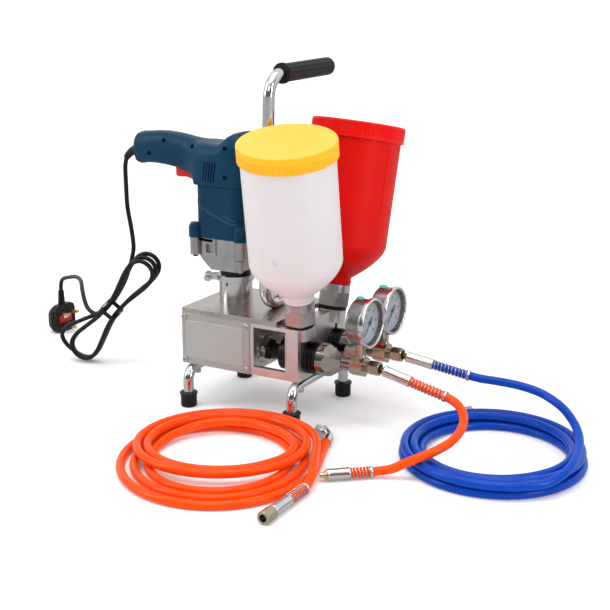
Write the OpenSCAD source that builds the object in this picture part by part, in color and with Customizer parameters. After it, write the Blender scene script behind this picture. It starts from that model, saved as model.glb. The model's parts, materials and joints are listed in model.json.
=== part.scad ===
// Drill-driven two-component injection pump with two hoppers and two delivery hoses.
// Millimetres, +Z up, +X towards the outlets, -Y the side with the gearbox cover.
// The origin is on the floor under the middle of the machine.

/* [Pump body] */
// Length of the pump body
body_l = 181; // [176:1:186]
// Width of the pump body across both pumps
body_w = 131; // [128:1:136]
// Height of the underside above the floor
body_bottom = 60; // [56:1:66]
// Height of the pump body
body_h = 77.5; // [76:0.5:82]
// Length of the closed gearbox part
gearbox_l = 108; // [106:1:110]
// Thickness of the side plates
side_t = 8; // [6:1:9]
// Thickness of the top plate
top_t = 7; // [6:0.5:9]
// Thickness of the gearbox cover
cover_t = 4; // [3:0.5:5]

/* [Pumps] */
// Distance between the two pump axes
pump_pitch = 66; // [64:1:68]
// Height of the pump axes above the floor
pump_z = 87; // [85:1:90]
// Diameter of a pump barrel
barrel_d = 44; // [40:1:46]
// Diameter of a plunger rod
rod_d = 16; // [14:1:17]
// Throw of the eccentric, half the stroke
throw = 4; // [3:0.5:4]
// Diameter of a pressure gauge case
gauge_d = 60; // [58:1:62]
// Height of the gauge centres above the pump axes
gauge_rise = 59; // [58:1:62]

/* [Hoppers] */
// Outward tilt of the hoppers in degrees
hopper_tilt = 12; // [10:1:13]
// Lean of the hoppers towards the outlets in degrees
hopper_lean = 2.5; // [0:0.5:3]
// Outer diameter of a hopper
hopper_d = 120; // [112:2:120]
// Distance from the pump axis to the top of a lid along the hopper axis
hopper_top = 300; // [290:5:310]
// Wall thickness of a hopper
hopper_t = 3; // [2:0.5:4]

/* [Drill] */
// Outer diameter of the drill collar
collar_d = 45.5; // [44:0.5:48]
// Half width of the square motor case
motor_hw = 36; // [34:1:38]
// Height of the seam between motor case and handle shells
seam_z = 300; // [298:0.5:303]
// Thickness of the drill handle
grip_t = 38; // [34:1:40]
// Travel of the trigger
trigger_travel = 4; // [3:0.5:5]

/* [Carrying handle and legs] */
// Outer diameter of the carrying handle tube
handle_d = 15.5; // [14:0.5:17]
// Height of the carrying handle's upper leg above the floor
handle_z = 450; // [430:5:460]
// Lean of the carrying handle in degrees
handle_lean = 1.9; // [0:0.1:2]
// Outer diameter of the leg tubes
leg_d = 14; // [12:1:15]
// Half distance between the front and the rear feet
foot_y = 71; // [68:1:74]

/* [Hoses and cord] */
// Outer diameter of the hoses
hose_d = 11; // [9:0.5:11]
// Diameter of the mains lead
lead_d = 6.5; // [6:0.5:7]

/* [Hidden] */
$fn = 64;

// Where the main parts of the body stand
body_x1 = 100;
body_x0 = body_x1 - body_l;
bulkhead_x = body_x0 + gearbox_l;
body_top = body_bottom + body_h;
plate_z = body_top - top_t;
half_w = body_w / 2;
housing_wall = 8;
housing_front = -half_w + 2;
top_plate_x1 = 68;
block_x0 = 76;
pump_y = pump_pitch / 2;
barrel_x0 = 63;
barrel_x1 = 118;
cone_x1 = 149;
tee_x0 = 164;
tee_x1 = 182;
tee_end = 193.5;
gauge_x = 175;
gauge_z = pump_z + gauge_rise;
spindle_x = -36;
motor_x = -43;
move_gap = 0.3;
run_gap = 0.05;

// Level of the drive parts in the gearbox
cross_z = 79;
cross_h = 16;
bearing_od = 35;
shaft_d = 17;

// Hopper stations along the axis, from the pump axis
boss_top = 47;
seal_t = 5;
nut_bottom = 52.3;
nut_h = 19.2;
nut_top = 82;
hopper_x = 89.5;
lid_h = 22;

// Hopper shell: threaded neck, shoulder, end of the rounded part and rim
seal_top = boss_top + seal_t;
thread_r = 17.3;
neck_r = 19.5;
neck_top = 92;
cone_top = 139;
rim_l = 296.7;
rim_r = 59.5;
lid_r = 63;

// Windows of the plunger bay and the sloping faces of the pump block
window_x0 = 32.5;
window_l = 50.6;
window_z0 = body_bottom + 11;
window_h = 54.5;
block_hw = half_w - side_t;
block_mid_y = 20;
block_edge_z = pump_z + (45 - (block_hw - pump_y) * sin(hopper_tilt)) / cos(hopper_tilt);
block_top_z = pump_z + (45 - (block_mid_y - pump_y) * sin(hopper_tilt)) / cos(hopper_tilt);

// Gauge stations along +X
gauge_back = 166;
plug_x = 173;
dial_x = 185;
gauge_bezel = 185.5;
needle_x = 187.5;
glass_x = 190.5;

// Crosshead and drill stations
eccentric_d = 26;
yoke_hw = 24.5;
hub_z = 150;
collar_h = 38.5;
neck_d = 38.4;
clamp_z = 168;
clamp_h = 8;
clamp_turn = 210;
clamp_reach = 38;
gear_z0 = 186;
gear_z1 = 229;
gear_boss_z = 205;
boss_x = 36;
boss_y = 33;
trigger_x0 = -126;
trigger_l = 32;
trigger_w = 16;
lock_x = -118;
lock_y = 14;
lock_z = 335;
// Shell screws: place along X, height, and the skin's Y there
shell_screws = [[-138, 353, -17.7], [-88, 349, -22.2], [-28.5, 352, -34.2], [-162.5, 334, -18.7], [-28, 314, -35.7]];

// Handle and legs
handle_x = 29;
handle_base = body_top + handle_d / 2 - 0.4;
handle_bend_y = -3;
handle_bend_r = 28;
grip_y0 = -1;
grip_y1 = 125;
grip_d = 24;
leg_x0 = -69.5;
leg_x1 = 94;
leg_z = body_bottom - leg_d / 2;
leg_bend_r = 18;

// Small parts
screw_d = 4;
bolt_d = 5;

// ---- general shapes ----

// A cylinder along +X that starts at x
module x_cyl(x, d, l) {
  translate([x, 0, 0]) rotate([0, 90, 0]) cylinder(d = d, h = l);
}

// A cylinder along +Y that starts at y
module y_cyl(y, d, l) {
  translate([0, y, 0]) rotate([-90, 0, 0]) cylinder(d = d, h = l);
}

// A hexagonal bar along +X with the given width across its flats
module x_hex(x, af, l) {
  translate([x, 0, 0]) rotate([0, 90, 0]) cylinder(d = af / cos(30), h = l, $fn = 6);
}

// Both pumps, front and rear
module each_pump() {
  for (side = [-1, 1]) translate([0, side * pump_y, pump_z]) children();
}

// The axis of one hopper, with its own +Z up along the hopper
module hopper_axis(side) {
  translate([hopper_x, side * pump_y, pump_z])
    rotate([0, hopper_lean, 0]) rotate([-side * hopper_tilt, 0, 0]) children();
}

// A square with rounded corners, centred
module rounded_square(w, h, r) {
  square([w - 2 * r, h], center = true);
  square([w, h - 2 * r], center = true);
  for (x = [-1, 1], y = [-1, 1]) translate([x * (w / 2 - r), y * (h / 2 - r)]) circle(r);
}

// A quarter bend of tube from +X, turning towards +Y, about the origin
module pipe_bend(bend_r, d, bore) {
  rotate_extrude(angle = 90) translate([bend_r, 0]) difference() {
    circle(d = d);
    circle(d = bore);
  }
}

// A straight tube along +Z
module pipe(d, bore, l) {
  difference() {
    cylinder(d = d, h = l);
    translate([0, 0, -1]) cylinder(d = bore, h = l + 2);
  }
}

// A star outline with round lobes
module star(lobes, core_r, lobe_r, reach) {
  circle(core_r);
  for (i = [0:lobes - 1]) rotate(i * 360 / lobes) translate([reach, 0]) circle(lobe_r);
}

// ---- swept tubes: rings of points along a route ----

function unit(v) = v / norm(v);
function tangent(p, i) = unit(p[min(i + 1, len(p) - 1)] - p[max(i - 1, 0)]);
function ring(c, t, up, r, n) =
  let (s = unit(cross(t, up)), w = cross(s, t))
  [for (k = [0:n - 1]) c + r * (cos(360 * k / n) * s + sin(360 * k / n) * w)];

// A smooth curve through a route's points, with n steps a span
function spline(p, n) = [
  for (i = [0:len(p) - 2], k = [0:n - 1])
    let (a = p[max(i - 1, 0)], b = p[i], c = p[i + 1], d = p[min(i + 2, len(p) - 1)], t = k / n)
    b + 0.5 * t * ((c - a) + t * ((2 * a - 5 * b + 4 * c - d) + t * (3 * b - a - 3 * c + d))),
  p[len(p) - 1]];

function route_length(p) = len(p) < 2 ? 0 : [for (i = [0:len(p) - 2]) norm(p[i + 1] - p[i])] * [for (i = [0:len(p) - 2]) 1];

// A tube of n sides along the points p, with one radius per point or one for all
module sweep(p, r, n, up = [0, 0, 1]) {
  m = len(p);
  rings = [for (i = [0:m - 1]) each ring(p[i], tangent(p, i), up, is_list(r) ? r[i] : r, n)];
  sides = [for (i = [0:m - 2], k = [0:n - 1])
    let (a = i * n + k, b = i * n + (k + 1) % n) each [[a, a + n, b], [b, a + n, b + n]]];
  ends = [for (k = [1:n - 2]) each [[0, k, k + 1], [(m - 1) * n, (m - 1) * n + k + 1, (m - 1) * n + k]]];
  polyhedron(rings, concat(sides, ends), convexity = 10);
}

// Least gap of a tube to itself, between points more than half a turn apart
function self_gap(p, skip, d) =
  min([for (i = [0:len(p) - 1 - skip], j = [i + skip:len(p) - 1]) norm(p[i] - p[j])]) - d;

// ---- hose coils ----

coil_rings = 24;
layer_rise = hose_d + 0.7;

// One point of a neat coil laid clockwise: its lower layer runs inwards for `low` turns, the rest lies on top
function coil_point(t, low, turns, r0, start) =
  let (r = r0 - coil_pitch * (turns - low - abs(t - low)), a = start - 360 * t)
  [r * cos(a), r * sin(a), layer_rise * min(max((t - low) * 2 + 0.5, 0), 1)];
function smooth(u) = let (v = min(max(u, 0), 1)) v * v * (3 - 2 * v);

// Middle, outer radius, turns, lower turns, start angle and stretch of the blue coil
coil_pitch = 12;
coil_axis = 30;
blue_c = [365, -41, hose_d / 2];
blue_r = 118;
blue_turns = 107 / coil_rings;
blue_low = blue_turns / 2;
blue_start = -45;
blue_stretch = [0.965, 1.04];

// A point stretched along and across a direction
function stretched(v, a, s) =
  let (u = v[0] * cos(a) + v[1] * sin(a), w = v[1] * cos(a) - v[0] * sin(a))
  [s[0] * u * cos(a) - s[1] * w * sin(a), s[0] * u * sin(a) + s[1] * w * cos(a), v[2]];

// All points of an oval coil
function oval_coil(c, r0, turns, low, start, s) =
  [for (k = [0:ceil(turns * coil_rings)])
    c + stretched(coil_point(min(k / coil_rings, turns), low, turns, r0, start), coil_axis, s)];
// The same with its layers swapped, so that it starts on top
function swapped(p, c) = [for (v = p) [v[0], v[1], 2 * c[2] + layer_rise - v[2]]];

// The orange coil lies loosely: its wide turns run inwards on the floor, and come out again on top of
// them, where the bundle has its own middle and stretch
orange_turns = 5;
orange_low = 2.52;
orange_start = 25;
orange_r = 128.1;
orange_in_r = 85.2;
orange_out_pitch = 13.1;
orange_c = [[75.6, -220, hose_d / 2], [70.9, -195.4, hose_d / 2]];
orange_stretch = [[0.969, 1.09], [0.971, 0.913]];
function orange_point(t) =
  let (r = orange_r - (orange_r - orange_in_r) * min(t / orange_low, 1) + orange_out_pitch * max(t - orange_low, 0),
       a = orange_start - 360 * t, w = smooth((t - 2.75) / 0.4), z = layer_rise * smooth((t - 2.48) / 0.3),
       s = orange_stretch[0] + w * (orange_stretch[1] - orange_stretch[0]))
  orange_c[0] + w * (orange_c[1] - orange_c[0]) + stretched([r * cos(a), r * sin(a), z], coil_axis, s);

// The orange hose: from its bent end piece, under and round the coil, and out to its nut
end_z = 8.6;
elbow_p = [170, -117, end_z];
elbow_turn = 108;
tail_p = [216, -286, end_z];
orange_in = [elbow_p, elbow_p + [5.5, -16, -1.9], elbow_p + [12, -34, -3.1]];
orange_out = [[186.5, -171.5, 17.3], [197.3, -193, 17.5], [203, -205, 17.4], [207.8, -217, 16], [211.8, -229, 12.9],
              [214.6, -241, 9.8], [216, -252, end_z], tail_p];
orange_path = concat(orange_in, [for (k = [0:orange_turns * coil_rings]) orange_point(k / coil_rings)], orange_out);
// The blue hose's coil, and its end behind the coil
blue_end_p = [270, 45, end_z];
blue_end_turn = 68;
blue_path = concat(swapped(oval_coil(blue_c, blue_r, blue_turns, blue_low, blue_start, blue_stretch), blue_c),
                   [blue_end_p - [3.9, 10.4, 1.9], blue_end_p]);

// Front outlet to the whip's end, and rear outlet to the blue coil
fitting_x = 203;
stem_l = 6;
ferrule_d = 15;
ferrule_l = 38;
guard_l = 50;
front_droop = 13;
rear_droop = 9;
rear_turn = 4;
whip_end_p = [218.4, -202.2, 8];
whip_end_turn = 39.7;
whip_ferrule_l = 28;
whip_dir = [cos(whip_end_turn), sin(whip_end_turn), 0];
front_dir = [cos(front_droop), 0, -sin(front_droop)];
rear_dir = [cos(rear_droop) * cos(rear_turn), cos(rear_droop) * sin(rear_turn), -sin(rear_droop)];
function fitting_at(side, s) = [fitting_x, side * pump_y, pump_z] + s * (side < 0 ? front_dir : rear_dir);
hose_s = stem_l + ferrule_l;
whip_route = concat([fitting_at(-1, hose_s), fitting_at(-1, hose_s + 25), fitting_at(-1, hose_s + guard_l)],
  [[309, -36.5, 62], [322, -46.5, 57.3], [331.5, -62, 51.8], [336.5, -83, 46], [335, -108, 40], [325.5, -130, 34.5],
   [310, -145.5, 27.8], [294, -152.5, 19.2], [280, -157, 11.6]],
  [for (s = [56, 42, 28]) whip_end_p + s * whip_dir]);
blue_route = concat([fitting_at(1, hose_s), fitting_at(1, hose_s + 25), fitting_at(1, hose_s + guard_l)],
  [[312, 41, 70.5], [335, 46, 69], [363, 50, 66.5], [391, 49.5, 61.5], [421, 36, 54], [445, 13, 45.5],
   [460, -11, 38], [468, -35, 32.7], [472.6, -60, 29.4], [473, -82.5, 26.4], [468.6, -102, 22.3],
   [460.4, -117, 18.7], blue_path[0]]);

// The hank of spare lead, leaning with its low end just off the floor
hank_low = [-332, 6, 6];
hank_high = [-175, 0, 182];
hank_mid = (hank_low + hank_high) / 2;
hank_dir = unit(hank_high - hank_low);
hank_side = unit(cross([0.35, -0.93, 0] - hank_dir * ([0.35, -0.93, 0] * hank_dir), hank_dir));
hank_up = cross(hank_dir, hank_side);
hank_a = 118;
hank_step = 4;
hank_b = 8;
hank_swell = [40, 36];
hank_stray = 20;
hank_pitch = lead_d + 0.6;
hank_turns = 3;
function in_hank(x, y, z) = hank_mid + x * hank_dir + y * hank_side + z * hank_up;

// Each turn lies on the last, is pinched by the tie and fans out to both ends; the first strays at the low end
function hank_point(t) =
  let (a = 360 * t + 90, stray = t < 0.3 ? hank_stray * pow(sin(180 * t / 0.3), 2) : 0,
       x = (hank_a - hank_step * t) * cos(a) - 0.4 * stray,
       y = sin(a) * (hank_b + hank_swell[cos(a) < 0 ? 0 : 1] * pow(cos(a), 2)) + stray)
  in_hank(x, y, (t - hank_turns / 2) * hank_pitch);
hank_path = [for (k = [0:hank_turns * coil_rings]) hank_point(k / coil_rings)];

// The mains lead: out of the strain relief, down behind the hank, and from the hank to the plug
plug_p = [-452, 117, 45];
plug_w = 48;
plug_h = 46;
lead_route = [[-216, 0, 321], [-219, 0, 308], [-219, 0, 285], [-218, 0, 250], [-216, 4, 220], [-216, 8, 192],
              in_hank(84, 25, -13), in_hank(62, 18, -14.6), in_hank(42, 12.6, -14.6), in_hank(24, 9.5, -13),
              in_hank(10, 8.1, -11.4), hank_path[0]];
tail_route = [hank_path[len(hank_path) - 1], in_hank(-10, 9, 11.5), in_hank(-19.5, 13.2, 10.6), in_hank(-26, 21, 7),
              in_hank(-29, 31.5, 1.5), [-310, 5, 101], [-327, 22, 108.5], [-352, 49, 113], [-385, 77, 108.5],
              [-417, 97, 99], [-435, 107, 92.7], [-445.3, 113, 86.6], [-450.4, 116, 78],
              plug_p + [0, 0, 23], plug_p + [0, 0, 18]];
tie_w = 25.5;
tie_h = 30.5;

function line_gap(a, b, d) = min([for (p = a, q = b) norm(p - q)]) - d;
echo(orange_gap = self_gap(orange_path, 14, hose_d), blue_gap = self_gap(blue_path, 14, hose_d),
     hank_gap = self_gap(hank_path, 10, lead_d));
echo(whip = route_length(spline(whip_route, 4)), orange = route_length(orange_path),
     blue_free = route_length(spline(blue_route, 4)), blue = route_length(blue_path),
     lead = route_length(spline(lead_route, 4)), hank = route_length(hank_path),
     tail = route_length(spline(tail_route, 4)));
echo(lead_to_hank = line_gap([for (i = [0:40]) spline(lead_route, 4)[i]], spline(hank_path, 3), lead_d),
     tail_to_hank = line_gap([for (i = [3:40]) spline(tail_route, 4)[i]], spline(hank_path, 3), lead_d),
     whip_to_blue = line_gap(spline(whip_route, 6), spline(blue_path, 6), hose_d),
     whip_to_orange = line_gap(spline(whip_route, 6), spline(orange_path, 6), hose_d + 2),
     blue_landing = line_gap([for (i = [0:56]) spline(blue_route, 4)[i]], [for (i = [10:len(blue_path) - 1]) blue_path[i]],
                             hose_d));
echo(hank_low_z = min([for (p = hank_path) p[2]]) - lead_d / 2);

// ---- pump body ----

// Gearbox part, open to the front and the top, with the two rod bores in its bulkhead
module gear_housing() {
  color("silver") difference() {
    translate([body_x0, housing_front, body_bottom]) cube([gearbox_l, half_w - housing_front, body_h - top_t]);
    translate([body_x0 + housing_wall, housing_front - 1, body_bottom + housing_wall])
      cube([gearbox_l - 2 * housing_wall, half_w - housing_front + 1 - housing_wall, body_h]);
    each_pump() x_cyl(bulkhead_x - housing_wall - 1, rod_d + 8, housing_wall + 2);
    translate([spindle_x, 0, body_bottom + 2]) cylinder(d = bearing_od, h = housing_wall);
    cover_screw_places() y_cyl(housing_front - 1, screw_d, housing_wall);
    for (y = [-48, 48]) translate([leg_x0, y, body_bottom - 1]) cylinder(d = bolt_d, h = 6);
  }
}

// Plates beside the plunger bay, each with a square window
module side_plates() {
  color("silver") for (side = [-1, 1]) difference() {
    translate([bulkhead_x, side * (half_w - side_t / 2) - side_t / 2, body_bottom])
      cube([body_x1 - bulkhead_x, side_t, body_h - top_t]);
    translate([window_x0, side * half_w - 2 * side_t, window_z0]) cube([window_l, 4 * side_t, window_h]);
    hopper_axis(side) translate([0, 0, 30]) cylinder(d = 39, h = 50);
  }
}

// Top plate with the upper bearing seat
module top_plate() {
  color("gainsboro") difference() {
    translate([body_x0, -half_w, plate_z]) cube([top_plate_x1 - body_x0, body_w, top_t]);
    translate([spindle_x, 0, plate_z - 1]) cylinder(d = bearing_od, h = top_t + 2);
    for (y = [2, 34]) translate([handle_x, y, plate_z - 1]) cylinder(d = bolt_d, h = top_t + 2);
  }
}

// The four screw places in the corners of the gearbox cover
module cover_screw_places() {
  for (x = [body_x0 + 5, bulkhead_x - 5], z = [body_bottom + 5, plate_z + top_t - 12])
    translate([x, 0, z]) children();
}

// Cover plate of the gearbox, with its edges bevelled
module gearbox_cover() {
  color("whitesmoke") difference() {
    translate([body_x0, housing_front - cover_t, body_bottom]) cube([gearbox_l, cover_t, body_h - top_t]);
    cover_screw_places() y_cyl(housing_front - cover_t - 1, screw_d, cover_t + 2);
    for (x = [body_x0, bulkhead_x]) translate([x, housing_front - cover_t, body_bottom - 1])
      rotate(45) translate([-0.7, -0.7, 0]) cube([1.4, 1.4, body_h + 2]);
  }
}

// Pan-head screws of the gearbox cover
module cover_screws() {
  color("silver") cover_screw_places() {
    y_cyl(housing_front - cover_t, screw_d, cover_t + 6);
    translate([0, housing_front - cover_t, 0]) rotate([90, 0, 0]) difference() {
      cylinder(d1 = 8.4, d2 = 6.6, h = 2.6);
      translate([-0.5, -3, 1.4]) cube([1, 6, 2]);
      translate([-3, -0.5, 1.4]) cube([6, 1, 2]);
    }
  }
}

// Block that holds both barrels, with a sloping seat under each hopper
module pump_block() {
  color("lightgray") difference() {
    union() {
      difference() {
        translate([block_x0, 0, 0]) rotate([90, 0, 90]) linear_extrude(body_x1 - block_x0)
          polygon([[-block_hw, body_bottom], [block_hw, body_bottom], [block_hw, block_edge_z],
                   [block_mid_y, block_top_z], [-block_mid_y, block_top_z], [-block_hw, block_edge_z]]);
        translate([block_x0, -body_w, block_top_z - 7]) rotate([0, -45, 0]) cube([20, 2 * body_w, 20]);
      }
      for (side = [-1, 1]) intersection() {
        hopper_axis(side) translate([0, 0, 30]) cylinder(d = 38, h = boss_top - 30);
        translate([block_x0 - 20, -half_w, pump_z]) cube([80, body_w, 100]);
      }
    }
    each_pump() x_cyl(block_x0 - 50, barrel_d, 120);
    for (side = [-1, 1]) hopper_axis(side) cylinder(d = 20, h = 80);
    for (y = [-48, 48]) translate([leg_x1, y, body_bottom - 1]) cylinder(d = bolt_d, h = 6);
  }
}

// Pump barrels with their bores, inlet holes and ring grooves
module barrels() {
  color("#202225") difference() {
    each_pump() x_cyl(barrel_x0, barrel_d, barrel_x1 - barrel_x0);
    each_pump() x_cyl(barrel_x0 - 1, rod_d + 2 * run_gap, barrel_x1 - barrel_x0 - 5);
    each_pump() x_cyl(barrel_x0, 6, 80);
    each_pump() for (x = [107, 112]) difference() {
      x_cyl(x, barrel_d + 4, 1.6);
      x_cyl(x - 1, barrel_d - 2.4, 4);
    }
    for (side = [-1, 1]) hopper_axis(side) cylinder(d = 14, h = 60);
  }
}

// Polished outlet caps with a six-sided taper and a round neck
module outlet_cones() {
  color("#d8d6d0") each_pump() difference() {
    union() {
      x_cyl(barrel_x1, barrel_d - 1, 9);
      intersection() {
        translate([barrel_x1 + 9, 0, 0]) rotate([0, 90, 0])
          cylinder(d1 = 50, d2 = 20, h = cone_x1 - barrel_x1 - 9, $fn = 6);
        x_cyl(barrel_x1 + 9, barrel_d - 1, 30);
      }
      x_cyl(cone_x1, 17, 5);
      x_cyl(cone_x1 + 5, 19, tee_x0 - cone_x1 - 5);
    }
    x_cyl(barrel_x1 - 1, 6, 60);
  }
}

// Outlet tees: hexagonal block, gauge socket on top and threaded outlet
module outlet_tees() {
  color("#b8ac90") each_pump() difference() {
    union() {
      intersection() {
        x_hex(tee_x0, 25, tee_x1 - tee_x0);
        x_cyl(tee_x0, 27.6, tee_x1 - tee_x0);
      }
      x_cyl(tee_x1, 14, 4);
      x_cyl(tee_x1, 12, tee_end - tee_x1);
      difference() {
        translate([gauge_x, 0, 0]) cylinder(d = 13, h = gauge_rise - 24);
        translate([0, 0, gauge_rise]) x_cyl(gauge_x - 20, gauge_d, 60);
      }
    }
    x_cyl(tee_x0 - 1, 6, 60);
    translate([gauge_x, 0, 0]) cylinder(d = 4, h = 60);
  }
}

// ---- gauges ----

// A gauge's own axis along +X through its dial centre
module each_gauge() {
  each_pump() translate([0, 0, gauge_rise]) children();
}

// Deep round cases with a domed back and a rolled bezel
module gauge_cases() {
  color("#c9c9cc") each_gauge() rotate([0, 90, 0]) difference() {
    union() {
      translate([0, 0, gauge_back]) cylinder(d1 = gauge_d - 6, d2 = gauge_d, h = 3);
      translate([0, 0, gauge_back + 3]) cylinder(d = gauge_d, h = gauge_bezel - gauge_back - 3);
      translate([0, 0, gauge_bezel]) cylinder(d1 = gauge_d, d2 = gauge_d + 5, h = 2);
      translate([0, 0, gauge_bezel + 2]) cylinder(d = gauge_d + 5, h = 4);
      translate([0, 0, gauge_bezel + 6]) cylinder(d1 = gauge_d + 5, d2 = gauge_d + 1, h = 1.5);
    }
    translate([0, 0, gauge_back + 2]) cylinder(d = gauge_d - 3, h = 60);
    translate([-gauge_d / 2 - 5, 0, plug_x]) rotate([0, 90, 0]) cylinder(d = 7, h = 10);
  }
}

// White dial discs
module gauge_dials() {
  color("white") each_gauge() difference() {
    x_cyl(dial_x, gauge_d - 3, 1);
    x_cyl(dial_x - 1, 3, 4);
  }
}

// Clear windows in the bezels
module gauge_glasses() {
  color([0.85, 0.92, 0.95, 0.4]) each_gauge() x_cyl(glass_x, gauge_d - 3, 1.5);
}

// Rubber filling plugs on top of the cases
module gauge_plugs() {
  color("#2fb5ad") each_gauge() translate([plug_x, 0, gauge_d / 2 - 2.5]) {
    cylinder(d = 7, h = 3);
    translate([0, 0, 2.9]) cylinder(d1 = 11, d2 = 9, h = 1.8);
  }
}

// A gauge pointer that rests at the lower left of the dial
module needle(side) {
  color("#1a1a1a") translate([needle_x, side * pump_y, gauge_z]) rotate([0, 90, 0]) {
    cylinder(d = 6, h = 1);
    translate([0, 0, -2.2]) cylinder(d = 2.8, h = 2.3);
    rotate(45) linear_extrude(0.6) polygon([[-1.6, 8], [1.6, 8], [0.9, -3], [0.35, -22], [-0.35, -22], [-0.9, -3]]);
  }
}

// ---- drive ----

// A flat ring along +Z
module bearing(z, bore, od, h) {
  translate([0, 0, z]) pipe(od, bore, h);
}

// Shaft bearings in the housing floor and the top plate, and the star-shaped guide bushes of the rods
module bearings() {
  color("#9fa3a8") {
    translate([spindle_x, 0, 0]) bearing(body_bottom + 2, shaft_d + 2 * run_gap, bearing_od, 6);
    translate([spindle_x, 0, 0]) bearing(plate_z, shaft_d + 2 * run_gap, bearing_od, top_t);
    each_pump() difference() {
      union() {
        x_cyl(bulkhead_x - housing_wall, rod_d + 8, housing_wall);
        translate([bulkhead_x, 0, 0]) rotate([0, 90, 0]) linear_extrude(5) star(6, 17, 5, 16);
      }
      x_cyl(0, rod_d + 2 * run_gap, 60);
    }
  }
}

// Upright shaft with its eccentric disc and the chuck hub in the drill's neck
module drive_shaft() {
  color("#8b8f94") translate([spindle_x, 0, 0]) {
    translate([0, 0, body_bottom + 2 + move_gap]) cylinder(d = shaft_d, h = hub_z - body_bottom - 2);
    translate([0, throw, cross_z]) cylinder(d = eccentric_d, h = cross_h);
    translate([0, 0, hub_z]) cylinder(d = 28, h = 26);
    translate([0, 0, hub_z + 26]) cylinder(d = 12, h = 8);
  }
}

// Ring that rolls on the eccentric inside the crosshead
module eccentric_bearing() {
  color("#a5a9ad") translate([spindle_x, throw, 0]) bearing(cross_z + 2, eccentric_d, eccentric_d + 6, cross_h - 4);
}

// Slotted yoke with the bar that carries both plunger rods
module crosshead() {
  color("#7d8187") translate([0, 0, cross_z]) difference() {
    union() {
      translate([spindle_x - yoke_hw - 6.5, -30, 0]) cube([2 * yoke_hw + 13, 60, cross_h]);
      translate([-6, -45, 0]) cube([11, 90, cross_h]);
    }
    translate([spindle_x - yoke_hw, -22, -1]) cube([2 * yoke_hw, 44, cross_h + 2]);
  }
}

// Ground plunger rods with the lock collar beside each star knob
module plungers() {
  color("#c4c7ca") each_pump() {
    x_cyl(5, rod_d, 98);
    difference() {
      x_hex(57.2, 19, 1.8);
      x_cyl(50, rod_d, 20);
    }
  }
}

// Star-shaped knob with a long hub on the plunger rod
module star_knob(side) {
  color("#1b1b1d") translate([0, side * pump_y, pump_z]) difference() {
    union() {
      translate([36.6, 0, 0]) rotate([0, 90, 0]) linear_extrude(8) rotate(20) star(5, 10.5, 3.4, 11);
      x_cyl(44.6, 20.5, 12);
    }
    x_cyl(30, rod_d + 2 * run_gap, 40);
  }
}

// ---- drill ----

// Polished tube that the drill's neck sits in, with its clamping slit
module drill_collar() {
  color("#c8c6c4") translate([spindle_x, 0, body_top]) difference() {
    pipe(collar_d, neck_d, collar_h);
    translate([-1.2, -collar_d, collar_h - 14]) cube([2.4, collar_d, 20]);
  }
}

// Band clamp round the collar, with two ears and a fixed nut
module collar_clamp() {
  color("#d4d4d4") translate([spindle_x, 0, clamp_z]) rotate(clamp_turn) difference() {
    union() {
      cylinder(d = collar_d + 6, h = clamp_h);
      for (y = [-6.5, 2.5]) translate([20, y, 0]) cube([clamp_reach - 20, 4, clamp_h]);
      for (y = [-6.5, 2.5]) translate([clamp_reach, y, clamp_h / 2]) y_cyl(0, clamp_h, 4);
      translate([clamp_reach, 6.5, clamp_h / 2]) rotate([-90, 0, 0]) cylinder(d = 11.5, h = 5, $fn = 6);
    }
    translate([0, 0, -1]) cylinder(d = collar_d, h = clamp_h + 2);
    translate([0, -2.5, -1]) cube([collar_d, 5, clamp_h + 2]);
    translate([clamp_reach, 0, clamp_h / 2]) y_cyl(-20, 6 + 2 * run_gap, 40);
  }
}

// Screw that closes the band clamp
module clamp_bolt() {
  color("#bfc2c6") translate([spindle_x, 0, clamp_z]) rotate(clamp_turn)
    translate([clamp_reach, 0, clamp_h / 2]) {
    y_cyl(-7, 6, 23);
    translate([0, -6.8, 0]) rotate([90, 0, 0]) cylinder(d = 11, h = 5, $fn = 6);
  }
}

// Dark neck between the gear case and the collar
module spindle_neck() {
  color("#33363a") translate([spindle_x, 0, 0]) difference() {
    union() {
      translate([0, 0, body_top + collar_h - 20]) cylinder(d = neck_d, h = 20);
      translate([0, 0, body_top + collar_h]) cylinder(d = 42, h = gear_z0 - body_top - collar_h);
    }
    translate([0, 0, 100]) cylinder(d = 30, h = gear_z0 - 100 - 4);
    translate([0, 0, 100]) cylinder(d = 14, h = 100);
  }
}

// Places of the four long gear case screws
module gear_screw_places() {
  for (x = [-1, 1], y = [-1, 1]) translate([motor_x + x * boss_x, y * boss_y, 0]) children();
}

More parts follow.
